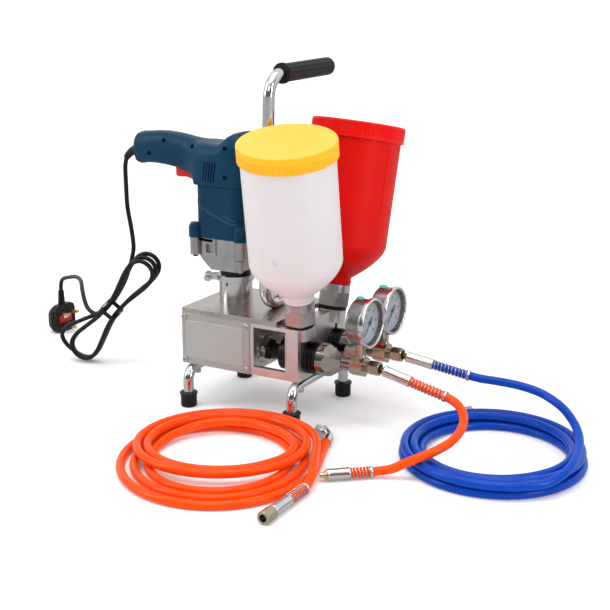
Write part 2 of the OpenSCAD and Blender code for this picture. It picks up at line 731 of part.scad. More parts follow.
// Cast gear case with a sloping foot, screw bosses, a pocket and cooling slots
module gear_case() {
  color("#b5b3b2") difference() {
    union() {
      intersection() {
        translate([motor_x, 0, gear_z0]) linear_extrude(gear_z1 - gear_z0) rounded_square(70, 66, 12);
        translate([0, 50, 0]) rotate([90, 0, 0]) linear_extrude(100)
          polygon([[-80, gear_z1], [-80, 208], [-73, 203], [-60, 191], [-54, gear_z0], [-9, gear_z0],
                   [-3, 192], [-3, gear_z1]]);
      }
      gear_screw_places() translate([0, 0, gear_boss_z]) cylinder(d = 14, h = gear_z1 - gear_boss_z);
      for (y = [-1, 1]) translate([motor_x + boss_x, y * boss_y, gear_boss_z - 18])
        cylinder(d1 = 7, d2 = 12, h = 18);
      for (y = [-1, 1]) translate([-63.5, y * 33 - 1.5, 206]) cube([18, 3, gear_z1 - 206]);
    }
    translate([motor_x - 50, -60, 203.4]) difference() {
      cube([100, 120, 0.8]);
      translate([50, 60, -1]) linear_extrude(3) rounded_square(68.8, 64.8, 11.4);
    }
    gear_screw_places() translate([0, 0, gear_boss_z - 20]) cylinder(d = screw_d, h = 60);
    for (y = [-1, 1]) translate([motor_x + boss_x, y * boss_y, gear_boss_z - 20]) cylinder(d = 4.2, h = 20);
    for (y = [-40, 30]) translate([-61, y, 209]) cube([13, 10, 12]);
    for (y = [-40, 30]) translate([-72, y, gear_z1 - 5]) cube([22, 10, 4]);
  }
}

// Long screws of the gear case and short screws of the handle shells
module drill_screws() {
  color("#4a4d50") {
    for (y = [-1, 1]) translate([motor_x - boss_x, y * boss_y, gear_boss_z - 3]) {
      translate([0, 0, 3]) cylinder(d = screw_d, h = 30);
      cylinder(d1 = 6.5, d2 = 8, h = 3);
    }
    for (p = shell_screws) translate([p[0], p[2] + 1.8, p[1]]) rotate([90, 0, 0]) cylinder(d = 5.6, h = 1.6);
  }
}

// Blue motor case with sleeves round the gear case screws
module motor_case() {
  color("#1c4a6a") difference() {
    union() {
      translate([motor_x, 0, gear_z1 + 14]) linear_extrude(seam_z - gear_z1 - 15.3)
        rounded_square(2 * motor_hw - 1, 2 * motor_hw - 1, 14);
      translate([motor_x, 0, seam_z - 2]) linear_extrude(2) rounded_square(2 * motor_hw - 3.4, 2 * motor_hw - 3.4, 13);
      translate([motor_x, 0, gear_z1]) linear_extrude(14) rounded_square(2 * motor_hw, 2 * motor_hw - 2, 14);
      gear_screw_places() translate([0, 0, gear_z1]) cylinder(d = 17, h = 14);
      gear_screw_places() translate([0, 0, gear_z1 + 14]) cylinder(d1 = 17, d2 = 11, h = 6);
    }
    gear_screw_places() translate([0, 0, gear_z1 - 1]) cylinder(d = screw_d, h = 20);
  }
}

// Sections of the drill's upper part: place along X, bottom, top, half thickness, squareness
shell_sections = [
  [-193.5, 325, 350.5, 10.5, 2.6], [-192.6, 320.5, 355, 14.2, 2.6], [-190, 317, 358.5, 16.6, 2.6], [-184, 316, 361, 18, 2.7],
  [-174, 318, 361.5, 18.5, 2.7], [-160, 318.5, 363.2, 19, 2.8], [-142, 317.5, 363.8, 19, 2.8],
  [-124, 315, 362.6, 19, 2.8], [-110, 311, 360.6, 19.5, 2.8], [-100, 307, 358.8, 20.5, 2.8],
  [-92, 300, 357.6, 23.5, 3], [-86, 290, 356.8, 27.5, 3.2], [-80.5, 274, 356.4, 31.5, 3.6], [-76, 268, 356.2, 34, 4.4],
  [-66, 266, 355.4, 35.6, 5], [-54, 266, 355, 36, 5], [-45, 266, 356.6, 36, 5], [-38.5, 266, 361, 36, 4.8],
  [-32, 266, 366.5, 36, 4.6], [-26, 266, 370, 35.6, 4.2], [-18, 266, 371, 34.5, 3.8], [-12, 267, 368, 32, 3.6],
  [-8.5, 269, 360, 28.5, 3.4],
  [-7, 274, 348, 24, 3.2]];
shell_n = 36;

// One section's ring of points: a rounded rectangle as a superellipse
function shell_ring(s) = [for (k = [0:shell_n - 1])
  let (a = 360 * k / shell_n, c = cos(a), w = sin(a), e = 2 / s[4])
  [s[0], s[3] * grip_t / 38 * sign(c) * pow(abs(c), e), (s[1] + s[2]) / 2 + (s[2] - s[1]) / 2 * sign(w) * pow(abs(w), e)]];

// A closed skin through a list of rings with n points each
module loft(rings, n) {
  m = len(rings);
  points = [for (r = rings) each r];
  sides = [for (i = [0:m - 2], k = [0:n - 1])
    let (a = i * n + k, b = i * n + (k + 1) % n) each [[a, b, a + n], [b, b + n, a + n]]];
  ends = [for (k = [1:n - 2]) each [[0, k + 1, k], [(m - 1) * n, (m - 1) * n + k, (m - 1) * n + k + 1]]];
  polyhedron(points, concat(sides, ends), convexity = 6);
}

// Half of the drill's handle and upper housing, with its trigger slot, vents and screw holes
module handle_shell(side) {
  color("#1d4d70") difference() {
    loft([for (s = shell_sections) shell_ring(s)], shell_n);
    translate([-250, side > 0 ? -100 : 0, 200]) cube([300, 100, 250]);
    translate([-120, -60, 200]) cube([150, 120, seam_z - 200]);
    translate([trigger_x0 - 0.6, -trigger_w / 2 - 0.5, 290]) cube([trigger_l + 1.2, trigger_w + 1, 34.5]);
    for (i = [0:4]) translate([-64 + 4.2 * i, side * 32, 306]) rotate([0, 8, 0])
      translate([0, -5, 0]) cube([1.7, 10, 27]);
    if (side > 0) translate([lock_x, 11, lock_z]) y_cyl(0, 9.8, 20);
    if (side < 0) for (p = shell_screws) translate([p[0], p[2] + 1.8, p[1]]) rotate([90, 0, 0])
      cylinder(d = 6.4, h = 20);
  }
}

// Red trigger with its finger curve
module trigger() {
  color("#cc1f1f") translate([trigger_x0, trigger_w / 2, 0]) rotate([90, 0, 0]) linear_extrude(trigger_w)
    difference() {
      polygon([[0, 319.5], [0, 305], [3, 303.5], [20, 303.5], [trigger_l, 300], [trigger_l, 319.5]]);
      translate([15, 288]) circle(r = 16);
    }
}

// Lock button on the hidden side of the handle
module lock_button() {
  color("#1a1a1a") translate([lock_x, 0, lock_z]) y_cyl(lock_y, 9, 8);
}

// ---- hoppers ----

// Outer radius of a hopper at a height along its axis
function hopper_r(l) =
  l < neck_top ? neck_r : l < cone_top ?
  neck_r + (hopper_d / 2 - neck_r) * (1 - pow(1 - (l - neck_top) / (cone_top - neck_top), 1.6)) : hopper_d / 2;

// Hopper body: a thin round shell with a threaded neck
module hopper() {
  steps = [for (i = [0:14]) neck_top + (cone_top - neck_top) * i / 14];
  outside = concat([[thread_r, seal_top], [thread_r, nut_top + 0.4], [neck_r, nut_top + 0.6]],
                   [for (l = steps) [hopper_r(l), l]], [[rim_r, rim_l]]);
  inside = concat([[rim_r - hopper_t, rim_l]], [for (i = [14:-1:0]) [hopper_r(steps[i]) - hopper_t - 0.6, steps[i] + 1.4]],
                  [[thread_r - hopper_t, nut_top], [thread_r - hopper_t, seal_top]]);
  rotate_extrude($fn = 96) polygon(concat(outside, inside));
}

// White hopper at the front
module hopper_front() {
  color([0.93, 0.92, 0.92]) hopper_axis(-1) hopper();
}

// Red hopper at the rear
module hopper_rear() {
  color("#d8231c") hopper_axis(1) hopper();
}

// Round lid with a grip skirt and a faint raised ring
module lid(side) {
  color(side < 0 ? "#ffd21f" : "#d8231c") hopper_axis(side) rotate_extrude($fn = 96)
    polygon([[0, rim_l + 0.3], [rim_r + 0.9, rim_l + 0.3], [rim_r + 0.9, hopper_top - lid_h], [lid_r, hopper_top - lid_h],
             [lid_r, hopper_top - 2.4], [lid_r - 0.8, hopper_top - 0.7], [lid_r - 2.6, hopper_top],
             [lid_r - 22, hopper_top], [lid_r - 22.6, hopper_top - 0.6], [0, hopper_top - 0.6]]);
}

// Black seal rings between the block and the hopper necks
module hopper_seals() {
  color("#151515") for (side = [-1, 1]) hopper_axis(side) translate([0, 0, boss_top]) pipe(38, 24, seal_t);
}

// Hexagonal union nut with a round upper collar
module hopper_nut(side) {
  color("#bdbbb9") hopper_axis(side) difference() {
    union() {
      intersection() {
        translate([0, 0, nut_bottom]) cylinder(d = 45.5, h = nut_h, $fn = 6);
        translate([0, 0, nut_bottom]) cylinder(d1 = 43, d2 = 45.5, h = 2.5);
      }
      intersection() {
        translate([0, 0, nut_bottom + 2.5]) cylinder(d = 45.5, h = nut_h - 2.5, $fn = 6);
        translate([0, 0, nut_bottom]) cylinder(d = 44.6, h = nut_h);
      }
      translate([0, 0, nut_bottom + nut_h]) cylinder(d = 40, h = nut_top - nut_bottom - nut_h);
    }
    translate([0, 0, 40]) cylinder(r = thread_r + 0.3, h = 60);
  }
}

// ---- carrying handle, legs and feet ----

// The leaning frame of the carrying handle, with its origin on the axis of the lower leg
module handle_frame() {
  translate([handle_x, 0, handle_base]) rotate([0, handle_lean, 0]) children();
}

// A shape drawn in XY stood up into the YZ plane
module upright() {
  rotate([90, 0, 90]) children();
}

// Bent carrying handle; its lower leg lies on the top plate
module handle_tube() {
  bore = handle_d - 3;
  r = handle_bend_r;
  y = handle_bend_y;
  rise = handle_z - handle_base;
  color("#c9ccd0") difference() {
    handle_frame() {
      translate([0, y, 0]) rotate([-90, 0, 0]) pipe(handle_d, bore, 48);
      translate([0, y, r]) upright() rotate(180) pipe_bend(r, handle_d, bore);
      translate([0, y - r, r]) pipe(handle_d, bore, rise - 2 * r);
      translate([0, y, rise - r]) upright() rotate(90) pipe_bend(r, handle_d, bore);
      translate([0, y, rise]) rotate([-90, 0, 0]) pipe(handle_d, bore, grip_y1 - 7 - y);
    }
    translate([handle_x - 20, -80, body_top - 20]) cube([40, 160, 20]);
    for (y = [2, 34]) translate([handle_x, y, body_top - 1]) cylinder(d = bolt_d, h = 30);
  }
}

// Fluted rubber grip with a collar and a closed, rounded end
module handle_grip() {
  l = grip_y1 - grip_y0;
  color("#161618") handle_frame() translate([0, grip_y0, handle_z - handle_base]) rotate([-90, 0, 0])
    difference() {
      union() {
        cylinder(d = grip_d + 3, h = 4);
        linear_extrude(l - 5) difference() {
          circle(d = grip_d);
          for (i = [0:11]) rotate(30 * i) translate([grip_d / 2 + 0.6, 0]) circle(1.7);
        }
        translate([0, 0, l - 5]) cylinder(d1 = grip_d, d2 = grip_d - 5, h = 5);
      }
      translate([0, 0, -1]) cylinder(d = handle_d, h = l - 6);
    }
}

// Both bent leg tubes under the body
module leg_tubes() {
  bore = leg_d - 3;
  r = leg_bend_r;
  run = foot_y - r;
  color("#c9ccd0") for (x = [leg_x0, leg_x1]) translate([x, 0, 0]) difference() {
    union() {
      translate([0, -run, leg_z]) rotate([-90, 0, 0]) pipe(leg_d, bore, 2 * run);
      translate([0, run, leg_z - r]) upright() pipe_bend(r, leg_d, bore);
      translate([0, -run, leg_z - r]) upright() rotate(90) pipe_bend(r, leg_d, bore);
      for (y = [-foot_y, foot_y]) translate([0, y, 4]) pipe(leg_d, bore, leg_z - r - 4);
    }
    for (y = [-48, 48]) translate([0, y, leg_z - 20]) cylinder(d = bolt_d, h = 30);
  }
}

// Rubber feet, each with a flared lip
module rubber_feet() {
  color("#141414") for (x = [leg_x0, leg_x1], y = [-foot_y, foot_y]) translate([x, y, 0]) difference() {
    union() {
      cylinder(d1 = 20.5, d2 = 22, h = 2);
      translate([0, 0, 2]) cylinder(d = 22, h = 14);
      translate([0, 0, 16]) cylinder(d1 = 22, d2 = 24.5, h = 2);
      translate([0, 0, 18]) cylinder(d = 24.5, h = 2);
    }
    translate([0, 0, 4]) cylinder(d = leg_d, h = 20);
  }
}

// Bolts of the legs from below and of the carrying handle from above
module frame_bolts() {
  color("#7d8086") {
    for (x = [leg_x0, leg_x1], y = [-48, 48]) translate([x, y, leg_z - leg_d / 2 - 4.5]) {
      cylinder(d = 9, h = 4.5);
      translate([0, 0, 4.5]) cylinder(d = bolt_d, h = leg_d + 5);
    }
    for (y = [2, 34]) translate([handle_x, y, plate_z]) {
      cylinder(d = bolt_d, h = handle_base - plate_z + handle_d / 2);
      translate([0, 0, handle_base - plate_z + handle_d / 2]) cylinder(d = 9, h = 4);
    }
  }
}

// ---- mains lead and plug ----

// Tapered strain relief at the end of the drill's handle
module cord_relief() {
  color("#1a1a1a") sweep(spline([[-193.6, 0, 335.5], [-199, 0, 334], [-206, 0, 330.5], [-212, 0, 325.5], [-216, 0, 321]], 2),
                         [7, 7, 6.8, 6.5, 6.1, 5.7, 5.3, 4.9, 4.6], 10, [0, 1, 0]);
}

// Free stretches of the mains lead
module mains_cord() {
  color("#19191a") {
    sweep(spline(lead_route, 3), lead_d / 2, 8, [0, 1, 0]);
    sweep(spline(tail_route, 3), lead_d / 2, 8, [0.45, 0.9, 0]);
  }
}

// Hank of spare lead
module cord_hank() {
  color("#19191a") sweep(hank_path, lead_d / 2, 6, hank_up);
}

// Tie round the hank
module cord_tie() {
  c = in_hank(-8, 0.8, 0);
  color("#101010") multmatrix([
    [hank_side[0], hank_up[0], hank_dir[0], c[0]],
    [hank_side[1], hank_up[1], hank_dir[1], c[1]],
    [hank_side[2], hank_up[2], hank_dir[2], c[2]],
    [0, 0, 0, 1]]) linear_extrude(7) difference() {
      rounded_square(tie_w + 2, tie_h + 2, 6);
      rounded_square(tie_w, tie_h, 4.5);
    }
}

// Three-pin plug standing on its edge with its pins towards +X, a tapered back and its lead going up
module plug_body() {
  color("#161617") translate([plug_p[0], plug_p[1], plug_h / 2]) {
    rotate([90, 0, 90]) hull() {
      translate([0, 0, -3]) linear_extrude(10) rounded_square(plug_w, plug_h, 12);
      translate([0, -2, -14]) linear_extrude(20) rounded_square(plug_w - 12, plug_h - 12, 10);
    }
    translate([0, 0, plug_h / 2 - 6]) cylinder(d1 = 14, d2 = 12.5, h = 6.5);
    translate([0, 0, plug_h / 2 - 1]) cylinder(d1 = 11.5, d2 = 9, h = plug_p[2] + 23 - plug_h + 1);
  }
}

// Plug pins, earth pin lowest
module plug_pins() {
  color("#d9c07a") translate([plug_p[0] + 7, plug_p[1], 0]) {
    translate([0, -2, 8]) cube([20, 4, 8]);
    for (y = [-11, 11]) translate([0, y - 3.2, 31]) cube([17, 6.4, 4]);
  }
}

// ---- hoses ----

// The frame of a hose end at the front or the rear outlet, with +X along the hose
module outlet_end(side) {
  translate([fitting_x, side * pump_y, pump_z]) rotate([0, 0, side < 0 ? 0 : rear_turn])
    rotate([0, side < 0 ? front_droop : rear_droop, 0]) children();
}

// The frame of a hose end on the floor, turned about +Z
module floor_end(p, turn) {
  translate(p) rotate([0, 0, turn]) children();
}

// Free whip from the front outlet
module orange_hose() {
  color("#ff5a1e") sweep(spline(whip_route, 4), hose_d / 2, 10);
}

// Coiled orange hose
module orange_coil() {
  color("#ff5a1e") sweep(orange_path, hose_d / 2, 6);
}

// Free stretch of the blue hose
module blue_hose() {
  color("#0546c8") sweep(spline(blue_route, 4), hose_d / 2, 10);
}

// Coiled blue hose
module blue_coil() {
  color("#0546c8") sweep(blue_path, hose_d / 2, 6);
}

// A six-sided nut along +X with bevelled corners and a bore
module hose_nut(x, af, l, bore) {
  difference() {
    intersection() {
      x_hex(x, af, l);
      union() {
        translate([x, 0, 0]) rotate([0, 90, 0]) cylinder(d1 = af, d2 = af / cos(30), h = 2);
        x_cyl(x + 2, af / cos(30), l - 4);
        translate([x + l - 2, 0, 0]) rotate([0, 90, 0]) cylinder(d1 = af / cos(30), d2 = af, h = 2);
      }
    }
    x_cyl(x - 1, bore, l + 2);
  }
}

// Swivel nuts on both outlets and at the ends of the coiled hoses
module hose_nuts() {
  color("#a89c7c") {
    each_pump() hose_nut(188, 17, 15, 12);
    floor_end(tail_p, -90) hose_nut(35, 14.6, 20, 9);
    floor_end(blue_end_p, blue_end_turn) hose_nut(24, 14.6, 12, 9);
  }
}

// A crimped ferrule with a rounded rim, and its stem before it
module ferrule(l, d, stem, stem_d) {
  rotate([0, 90, 0]) rotate_extrude() polygon([[0, -stem], [stem_d / 2, -stem], [stem_d / 2, 0], [d / 2 - 1, 0],
    [d / 2, 1], [d / 2, l - 1], [d / 2 - 0.7, l], [0, l]]);
}

// Crimped ferrules of every hose end
module hose_ferrules() {
  color("#d0d2d6") {
    for (side = [-1, 1]) outlet_end(side) translate([stem_l, 0, 0]) ferrule(ferrule_l, ferrule_d, stem_l - 1.2, 9);
    floor_end(whip_end_p, whip_end_turn) ferrule(whip_ferrule_l, ferrule_d, 8, 9);
    floor_end(tail_p, -90) ferrule(35, ferrule_d, 0.01, 9);
    floor_end(blue_end_p, blue_end_turn) ferrule(24, 14, 0.01, 9);
  }
}

// One open spring guard along +X round a straight hose
module spring_guard(x, l, curls) {
  sweep([for (k = [0:8 * curls]) [x + 0.9 + (l - 1.8) * k / (8 * curls), 6.55 * cos(45 * k), 6.55 * sin(45 * k)]],
        0.8, 6, [1, 0, 0]);
}

// Spring guards beside the ferrules
module spring_guards() {
  color("#c8cace") {
    for (side = [-1, 1]) outlet_end(side) spring_guard(stem_l + ferrule_l, guard_l, 10);
    floor_end(whip_end_p, whip_end_turn) spring_guard(whip_ferrule_l, 26, 6);
    floor_end(tail_p, 90) spring_guard(0, 36, 9);
  }
}

// Bent end piece of the orange hose with its ferrule and nut
module hose_elbow() {
  color("#b9bbc0") floor_end(elbow_p, elbow_turn) {
    rotate([0, 90, 0]) cylinder(d = 14, h = 14);
    x_cyl(14, 9, 10);
    translate([24, 16, 0]) rotate(-90) rotate_extrude(angle = 60) translate([16, 0]) circle(d = 9);
    translate([24 + 16 * cos(30), 8, 0]) rotate(60) hose_nut(0, 14.6, 12, 5);
  }
}

// ---- the machine ----

gear_housing();
side_plates();
top_plate();
gearbox_cover();
cover_screws();
pump_block();
barrels();
outlet_cones();
outlet_tees();
gauge_cases();
gauge_dials();
gauge_glasses();
gauge_plugs();
bearings();
drill_collar();
collar_clamp();
gear_case();
drill_screws();
spindle_neck();
motor_case();
handle_shell(-1);  // handle_shell_front
handle_shell(1);  // handle_shell_rear
hopper_front();
hopper_rear();
hopper_seals();
handle_tube();
handle_grip();
leg_tubes();
rubber_feet();
frame_bolts();
clamp_bolt();
trigger();
lock_button();
drive_shaft();
eccentric_bearing();
crosshead();
plungers();
star_knob(-1);  // star_knob_front
star_knob(1);  // star_knob_rear
needle(-1);  // needle_front
needle(1);  // needle_rear
lid(-1);  // lid_front
lid(1);  // lid_rear
hopper_nut(-1);  // hopper_nut_front
hopper_nut(1);  // hopper_nut_rear
cord_relief();
mains_cord();
cord_hank();
cord_tie();
plug_body();
plug_pins();
orange_hose();
orange_coil();
blue_hose();
blue_coil();
hose_nuts();
hose_ferrules();
spring_guards();
hose_elbow();
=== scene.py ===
"""Looks of a drill-driven two-component injection pump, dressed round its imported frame.

Everything is in metres in the frame's own axes: +Z up, +X towards the outlets and -Y the
side with the gearbox cover. Sizes written in millimetres pass through mm() or MM.
"""

import json
import logging
import math
from dataclasses import dataclass, field
from enum import Enum
from typing import Iterable, Sequence

import bmesh
import bpy
from mathutils import Matrix, Vector


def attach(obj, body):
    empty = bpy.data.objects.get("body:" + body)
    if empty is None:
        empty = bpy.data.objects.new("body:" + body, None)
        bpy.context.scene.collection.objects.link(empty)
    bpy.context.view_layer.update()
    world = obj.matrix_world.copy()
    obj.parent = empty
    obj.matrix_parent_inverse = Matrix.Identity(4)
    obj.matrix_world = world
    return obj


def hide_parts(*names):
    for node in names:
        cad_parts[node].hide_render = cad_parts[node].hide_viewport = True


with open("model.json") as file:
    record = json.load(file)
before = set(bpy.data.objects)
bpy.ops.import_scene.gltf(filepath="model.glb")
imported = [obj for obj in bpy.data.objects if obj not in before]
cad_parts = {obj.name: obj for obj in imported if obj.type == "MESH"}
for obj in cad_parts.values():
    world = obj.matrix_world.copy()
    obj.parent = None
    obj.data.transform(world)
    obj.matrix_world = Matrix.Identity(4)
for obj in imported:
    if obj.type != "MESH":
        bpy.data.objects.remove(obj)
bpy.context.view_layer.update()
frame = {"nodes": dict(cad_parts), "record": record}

LOG = logging.getLogger("pump")
MM = 0.001
TAU = 2 * math.pi
Colour = tuple[float, float, float]
Point = tuple[float, float, float]
NODE_SLOT = {part["node"]: part["material_slot"] for part in frame["record"]["subparts"]}
NODE_BODY = {node: body for body, nodes in frame["record"]["behaviour"]["bodies"].items() for node in nodes}


class Axis(Enum):
    """The three axes of the frame."""

    X = 0
    Y = 1
    Z = 2


# ---- shader maths ----


class Num:
    """A number on a node's socket. Operators on it add Math nodes."""

    def __init__(self, tree: bpy.types.NodeTree, socket: bpy.types.NodeSocket) -> None:
        """Wraps a socket of a node tree."""
        self.tree = tree
        self.socket = socket

    def _math(self, operation: str, *values: "Num | float") -> "Num":
        """One Math node.

        Args:
            operation: the node's operation.
            values: its inputs in order, links or numbers.

        Returns:
            The node's result.
        """
        node = self.tree.nodes.new("ShaderNodeMath")
        node.operation = operation
        for socket, value in zip(node.inputs, values):
            if isinstance(value, Num):
                self.tree.links.new(value.socket, socket)
            else:
                socket.default_value = value
        return Num(self.tree, node.outputs[0])

    def __add__(self, other: "Num | float") -> "Num":
        """Sum."""
        return self._math("ADD", self, other)

    def __mul__(self, other: "Num | float") -> "Num":
        """Product."""
        return self._math("MULTIPLY", self, other)

    def __rsub__(self, other: float) -> "Num":
        """Difference from a number."""
        return self._math("SUBTRACT", other, self)

    def ramp(self, low: float, high: float) -> "Num":
        """A soft step from 0 at low to 1 at high."""
        node = self.tree.nodes.new("ShaderNodeMapRange")
        node.interpolation_type = "SMOOTHSTEP"
        self.tree.links.new(self.socket, node.inputs["Value"])
        node.inputs["From Min"].default_value = low
        node.inputs["From Max"].default_value = high
        return Num(self.tree, node.outputs["Result"])


class Nodes:
    """A node tree that grows by whole nodes."""

    def __init__(self, tree: bpy.types.NodeTree) -> None:
        """Takes the tree of a material or a world."""
        self.tree = tree

    def node(self, kind: str, settings: dict[str, object] | None = None, **inputs: object) -> bpy.types.Node:
        """Any node, with its settings first and then its sockets.

        Args:
            kind: the node's type name without its ShaderNode prefix.
            settings: attributes of the node.
            inputs: socket values or links by name, with _ for a space.

        Returns:
            The node.
        """
        node = self.tree.nodes.new("ShaderNode" + kind)
        for key, value in (settings or {}).items():
            setattr(node, key, value)
        for key, value in inputs.items():
            self.feed(node.inputs[key.replace("_", " ")], value)
        return node

    def feed(self, socket: bpy.types.NodeSocket, value: object) -> None:
        """Links a socket to a Num or another socket, or gives it a value."""
        if isinstance(value, Num):
            value = value.socket
        if isinstance(value, bpy.types.NodeSocket):
            self.tree.links.new(value, socket)
        elif socket.type == "RGBA" and isinstance(value, tuple):
            socket.default_value = (*value[:3], 1.0)
        else:
            socket.default_value = value

    def mix(self, factor: "Num | float", first: object, second: object) -> bpy.types.NodeSocket:
        """A colour between two colours."""
        node = self.node("Mix", {"data_type": "RGBA"})
        self.feed(node.inputs[0], factor)
        self.feed(node.inputs[6], first)
        self.feed(node.inputs[7], second)
        return node.outputs[2]

    def along(self, axis: Axis, place: bpy.types.NodeSocket) -> Num:
        """One coordinate of a place."""
        return Num(self.tree, self.node("SeparateXYZ", None, Vector=place).outputs[axis.value])


class Paint(Nodes):
    """A material's node tree round its Principled shader."""

    def __init__(self, name: str) -> None:
        """Makes an empty material of that name."""
        self.material = bpy.data.materials.new(name)
        self.material.use_nodes = True
        super().__init__(self.material.node_tree)
        self.shader = next(n for n in self.tree.nodes if n.type == "BSDF_PRINCIPLED")

    def spot(self, stretch: Point = (1, 1, 1)) -> bpy.types.NodeSocket:
        """Object coordinates, stretched."""
        place = self.node("TexCoord").outputs["Object"]
        if stretch == (1, 1, 1):
            return place
        return self.node("Mapping", None, Vector=place, Scale=stretch).outputs[0]

    def height(self, axis: Axis = Axis.Z) -> Num:
        """The coordinate along an axis of the frame, in metres."""
        return self.along(axis, self.spot())

    def noise(self, scale: float, detail: float = 3, stretch: Point = (1, 1, 1),
              roughness: float = 0.5) -> Num:
        """Noise from 0 to 1 on object coordinates."""
        made = self.node("TexNoise", None, Vector=self.spot(stretch), Scale=scale, Detail=detail,
                         Roughness=roughness)
        return Num(self.tree, made.outputs[0])

    def bump(self, height: Num, strength: float, distance: float) -> None:
        """Small relief on the shader's normal, with its depth in metres."""
        node = self.node("Bump", None, Height=height, Strength=strength, Distance=distance)
        self.feed(self.shader.inputs["Normal"], node.outputs[0])

    def surface(self, **values: object) -> None:
        """Sockets of the Principled shader by name, with _ for a space."""
        for key, value in values.items():
            self.feed(self.shader.inputs[key.replace("_", " ")], value)


# ---- finishes ----


@dataclass(frozen=True)
class Finish:
    """A surface finish: its name, main colour and roughness."""

    name: str
    colour: Colour
    roughness: float

    def dress(self, paint: Paint) -> None:
        """Fills in the shader."""
        paint.surface(Base_Color=self.colour, Roughness=self.roughness)

    def material(self) -> bpy.types.Material:
        """The finish's material, made once."""
        name = self.name + "_finish"
        found = bpy.data.materials.get(name)
        if found:
            return found
        paint = Paint(name)
        self.dress(paint)
        return paint.material

    def shade(self, amount: float) -> Colour:
        """The main colour, lighter or darker by a factor."""
        return tuple(min(1.0, c * amount) for c in self.colour)


@dataclass(frozen=True)
class BrushedMetal(Finish):
    """Rolled or brushed plate with fine lines along an axis and soft stains."""

    grain: Axis = Axis.X
    depth: float = 0.00002
    stain: float = 0.12

    def dress(self, paint: Paint) -> None:
        """Lines of brushing over a slow change of tone."""
        stretch = [1.0, 1.0, 1.0]
        stretch[self.grain.value] = 0.02
        lines = paint.noise(1400, 2, tuple(stretch))
        slow = paint.noise(26, 4)
        scuffs = paint.noise(90, 6, roughness=0.7).ramp(0.56, 0.7)
        tone = slow.ramp(0.35, 0.7)
        colour = paint.mix(tone, self.shade(1 - self.stain), self.shade(1 + self.stain / 2))
        colour = paint.mix(lines * 0.22, colour, self.shade(0.78))
        rough = lines * 0.16 + tone * 0.08 + scuffs * 0.14 + (self.roughness - 0.12)
        paint.surface(Base_Color=colour, Metallic=1.0, Roughness=rough)
        paint.bump(lines, 0.35, self.depth)


@dataclass(frozen=True)
class PolishedMetal(Finish):
    """Plated or polished metal with faint handling marks."""

    haze: float = 0.08

    def dress(self, paint: Paint) -> None:
        """A bright surface with faint smears, pits and a slow shallow wave."""
        smear = paint.noise(70, 4).ramp(0.4, 0.75)
        pits = paint.noise(1800, 2)
        paint.surface(Base_Color=paint.mix(smear * 0.4, self.colour, self.shade(0.86)), Metallic=1.0,
                      Roughness=smear * self.haze + pits * 0.03 + self.roughness)
        paint.bump(paint.noise(35, 1), 0.2, 0.00004)


@dataclass(frozen=True)
class CastMetal(Finish):
    """Die-cast metal with a fine sandy skin."""

    grit: float = 0.00006

    def dress(self, paint: Paint) -> None:
        """Grain in relief and a cloudy tone."""
        grain = paint.noise(900, 5, roughness=0.65)
        cloud = paint.noise(40, 3).ramp(0.3, 0.7)
        paint.surface(Base_Color=paint.mix(cloud, self.shade(0.86), self.shade(1.08)), Metallic=1.0,
                      Roughness=grain * 0.2 + cloud * 0.06 + (self.roughness - 0.1))
        paint.bump(grain, 0.6, self.grit)


@dataclass(frozen=True)
class Moulded(Finish):
    """Moulded plastic or rubber with a fine grain, slow tone and rubbed spots."""

    grain: float = 0.00003
    scale: float = 1500
    gloss: float = 0.3
    coat: float = 0.0
    scatter: float = 0.0
    tone: float = 0.1

    def tint(self, paint: Paint) -> object:
        """The colour over the surface, lighter and darker in slow patches."""
        slow = paint.noise(18, 3).ramp(0.3, 0.7)
        return paint.mix(slow, self.shade(1 - self.tone), self.shade(1 + self.tone / 2))

    def dress(self, paint: Paint) -> None:
        """Grain in relief, the tint and rubbed spots."""
        grain = paint.noise(self.scale, 3)
        rubbed = paint.noise(55, 6, roughness=0.7).ramp(0.58, 0.72)
        paint.surface(Base_Color=self.tint(paint),
                      Roughness=grain * 0.1 + rubbed * 0.08 + (self.roughness - 0.05),
                      Coat_Weight=self.coat, Coat_Roughness=0.12, Specular_IOR_Level=self.gloss)
        if self.scatter:
            paint.surface(Subsurface_Weight=self.scatter, Subsurface_Radius=(0.02, 0.018, 0.018),
                          Subsurface_Scale=0.3)
        paint.bump(grain, 0.4, self.grain)


@dataclass(frozen=True)
class Milky(Moulded):
    """Milky plastic, with a painted pinkish glow of light bounced from the orange hoses towards the neck, and
    one painted bluish reflection.
    """

    # the painted pinkish glow of light bounced from the orange hoses, low down
    low_tint: Colour = (0.69, 0.63, 0.635)
    low: float = 0.185
    high: float = 0.262
    # middle of the painted bluish reflection
    mark: Point = (0.1020, -0.1252, 0.2332)
    mark_r: float = 0.0065
    mark_tint: Colour = (0.36, 0.52, 0.72)

    def tint(self, paint: Paint) -> object:
        """Painted pinkish bounced light below, cool white above, and the painted bluish reflection."""
        # painted bounced light: pinkish below the low height
        warm = 1 - paint.height().ramp(self.low, self.high)
        colour = paint.mix(warm, super().tint(paint), self.low_tint)
        away = paint.node("VectorMath", {"operation": "DISTANCE"})
        paint.feed(away.inputs[0], paint.spot())
        paint.feed(away.inputs[1], self.mark)
        # the painted bluish reflection round that spot
        near = 1 - Num(paint.tree, away.outputs["Value"]).ramp(self.mark_r * 0.3, self.mark_r)
        return paint.mix(near * 0.5, colour, self.mark_tint)


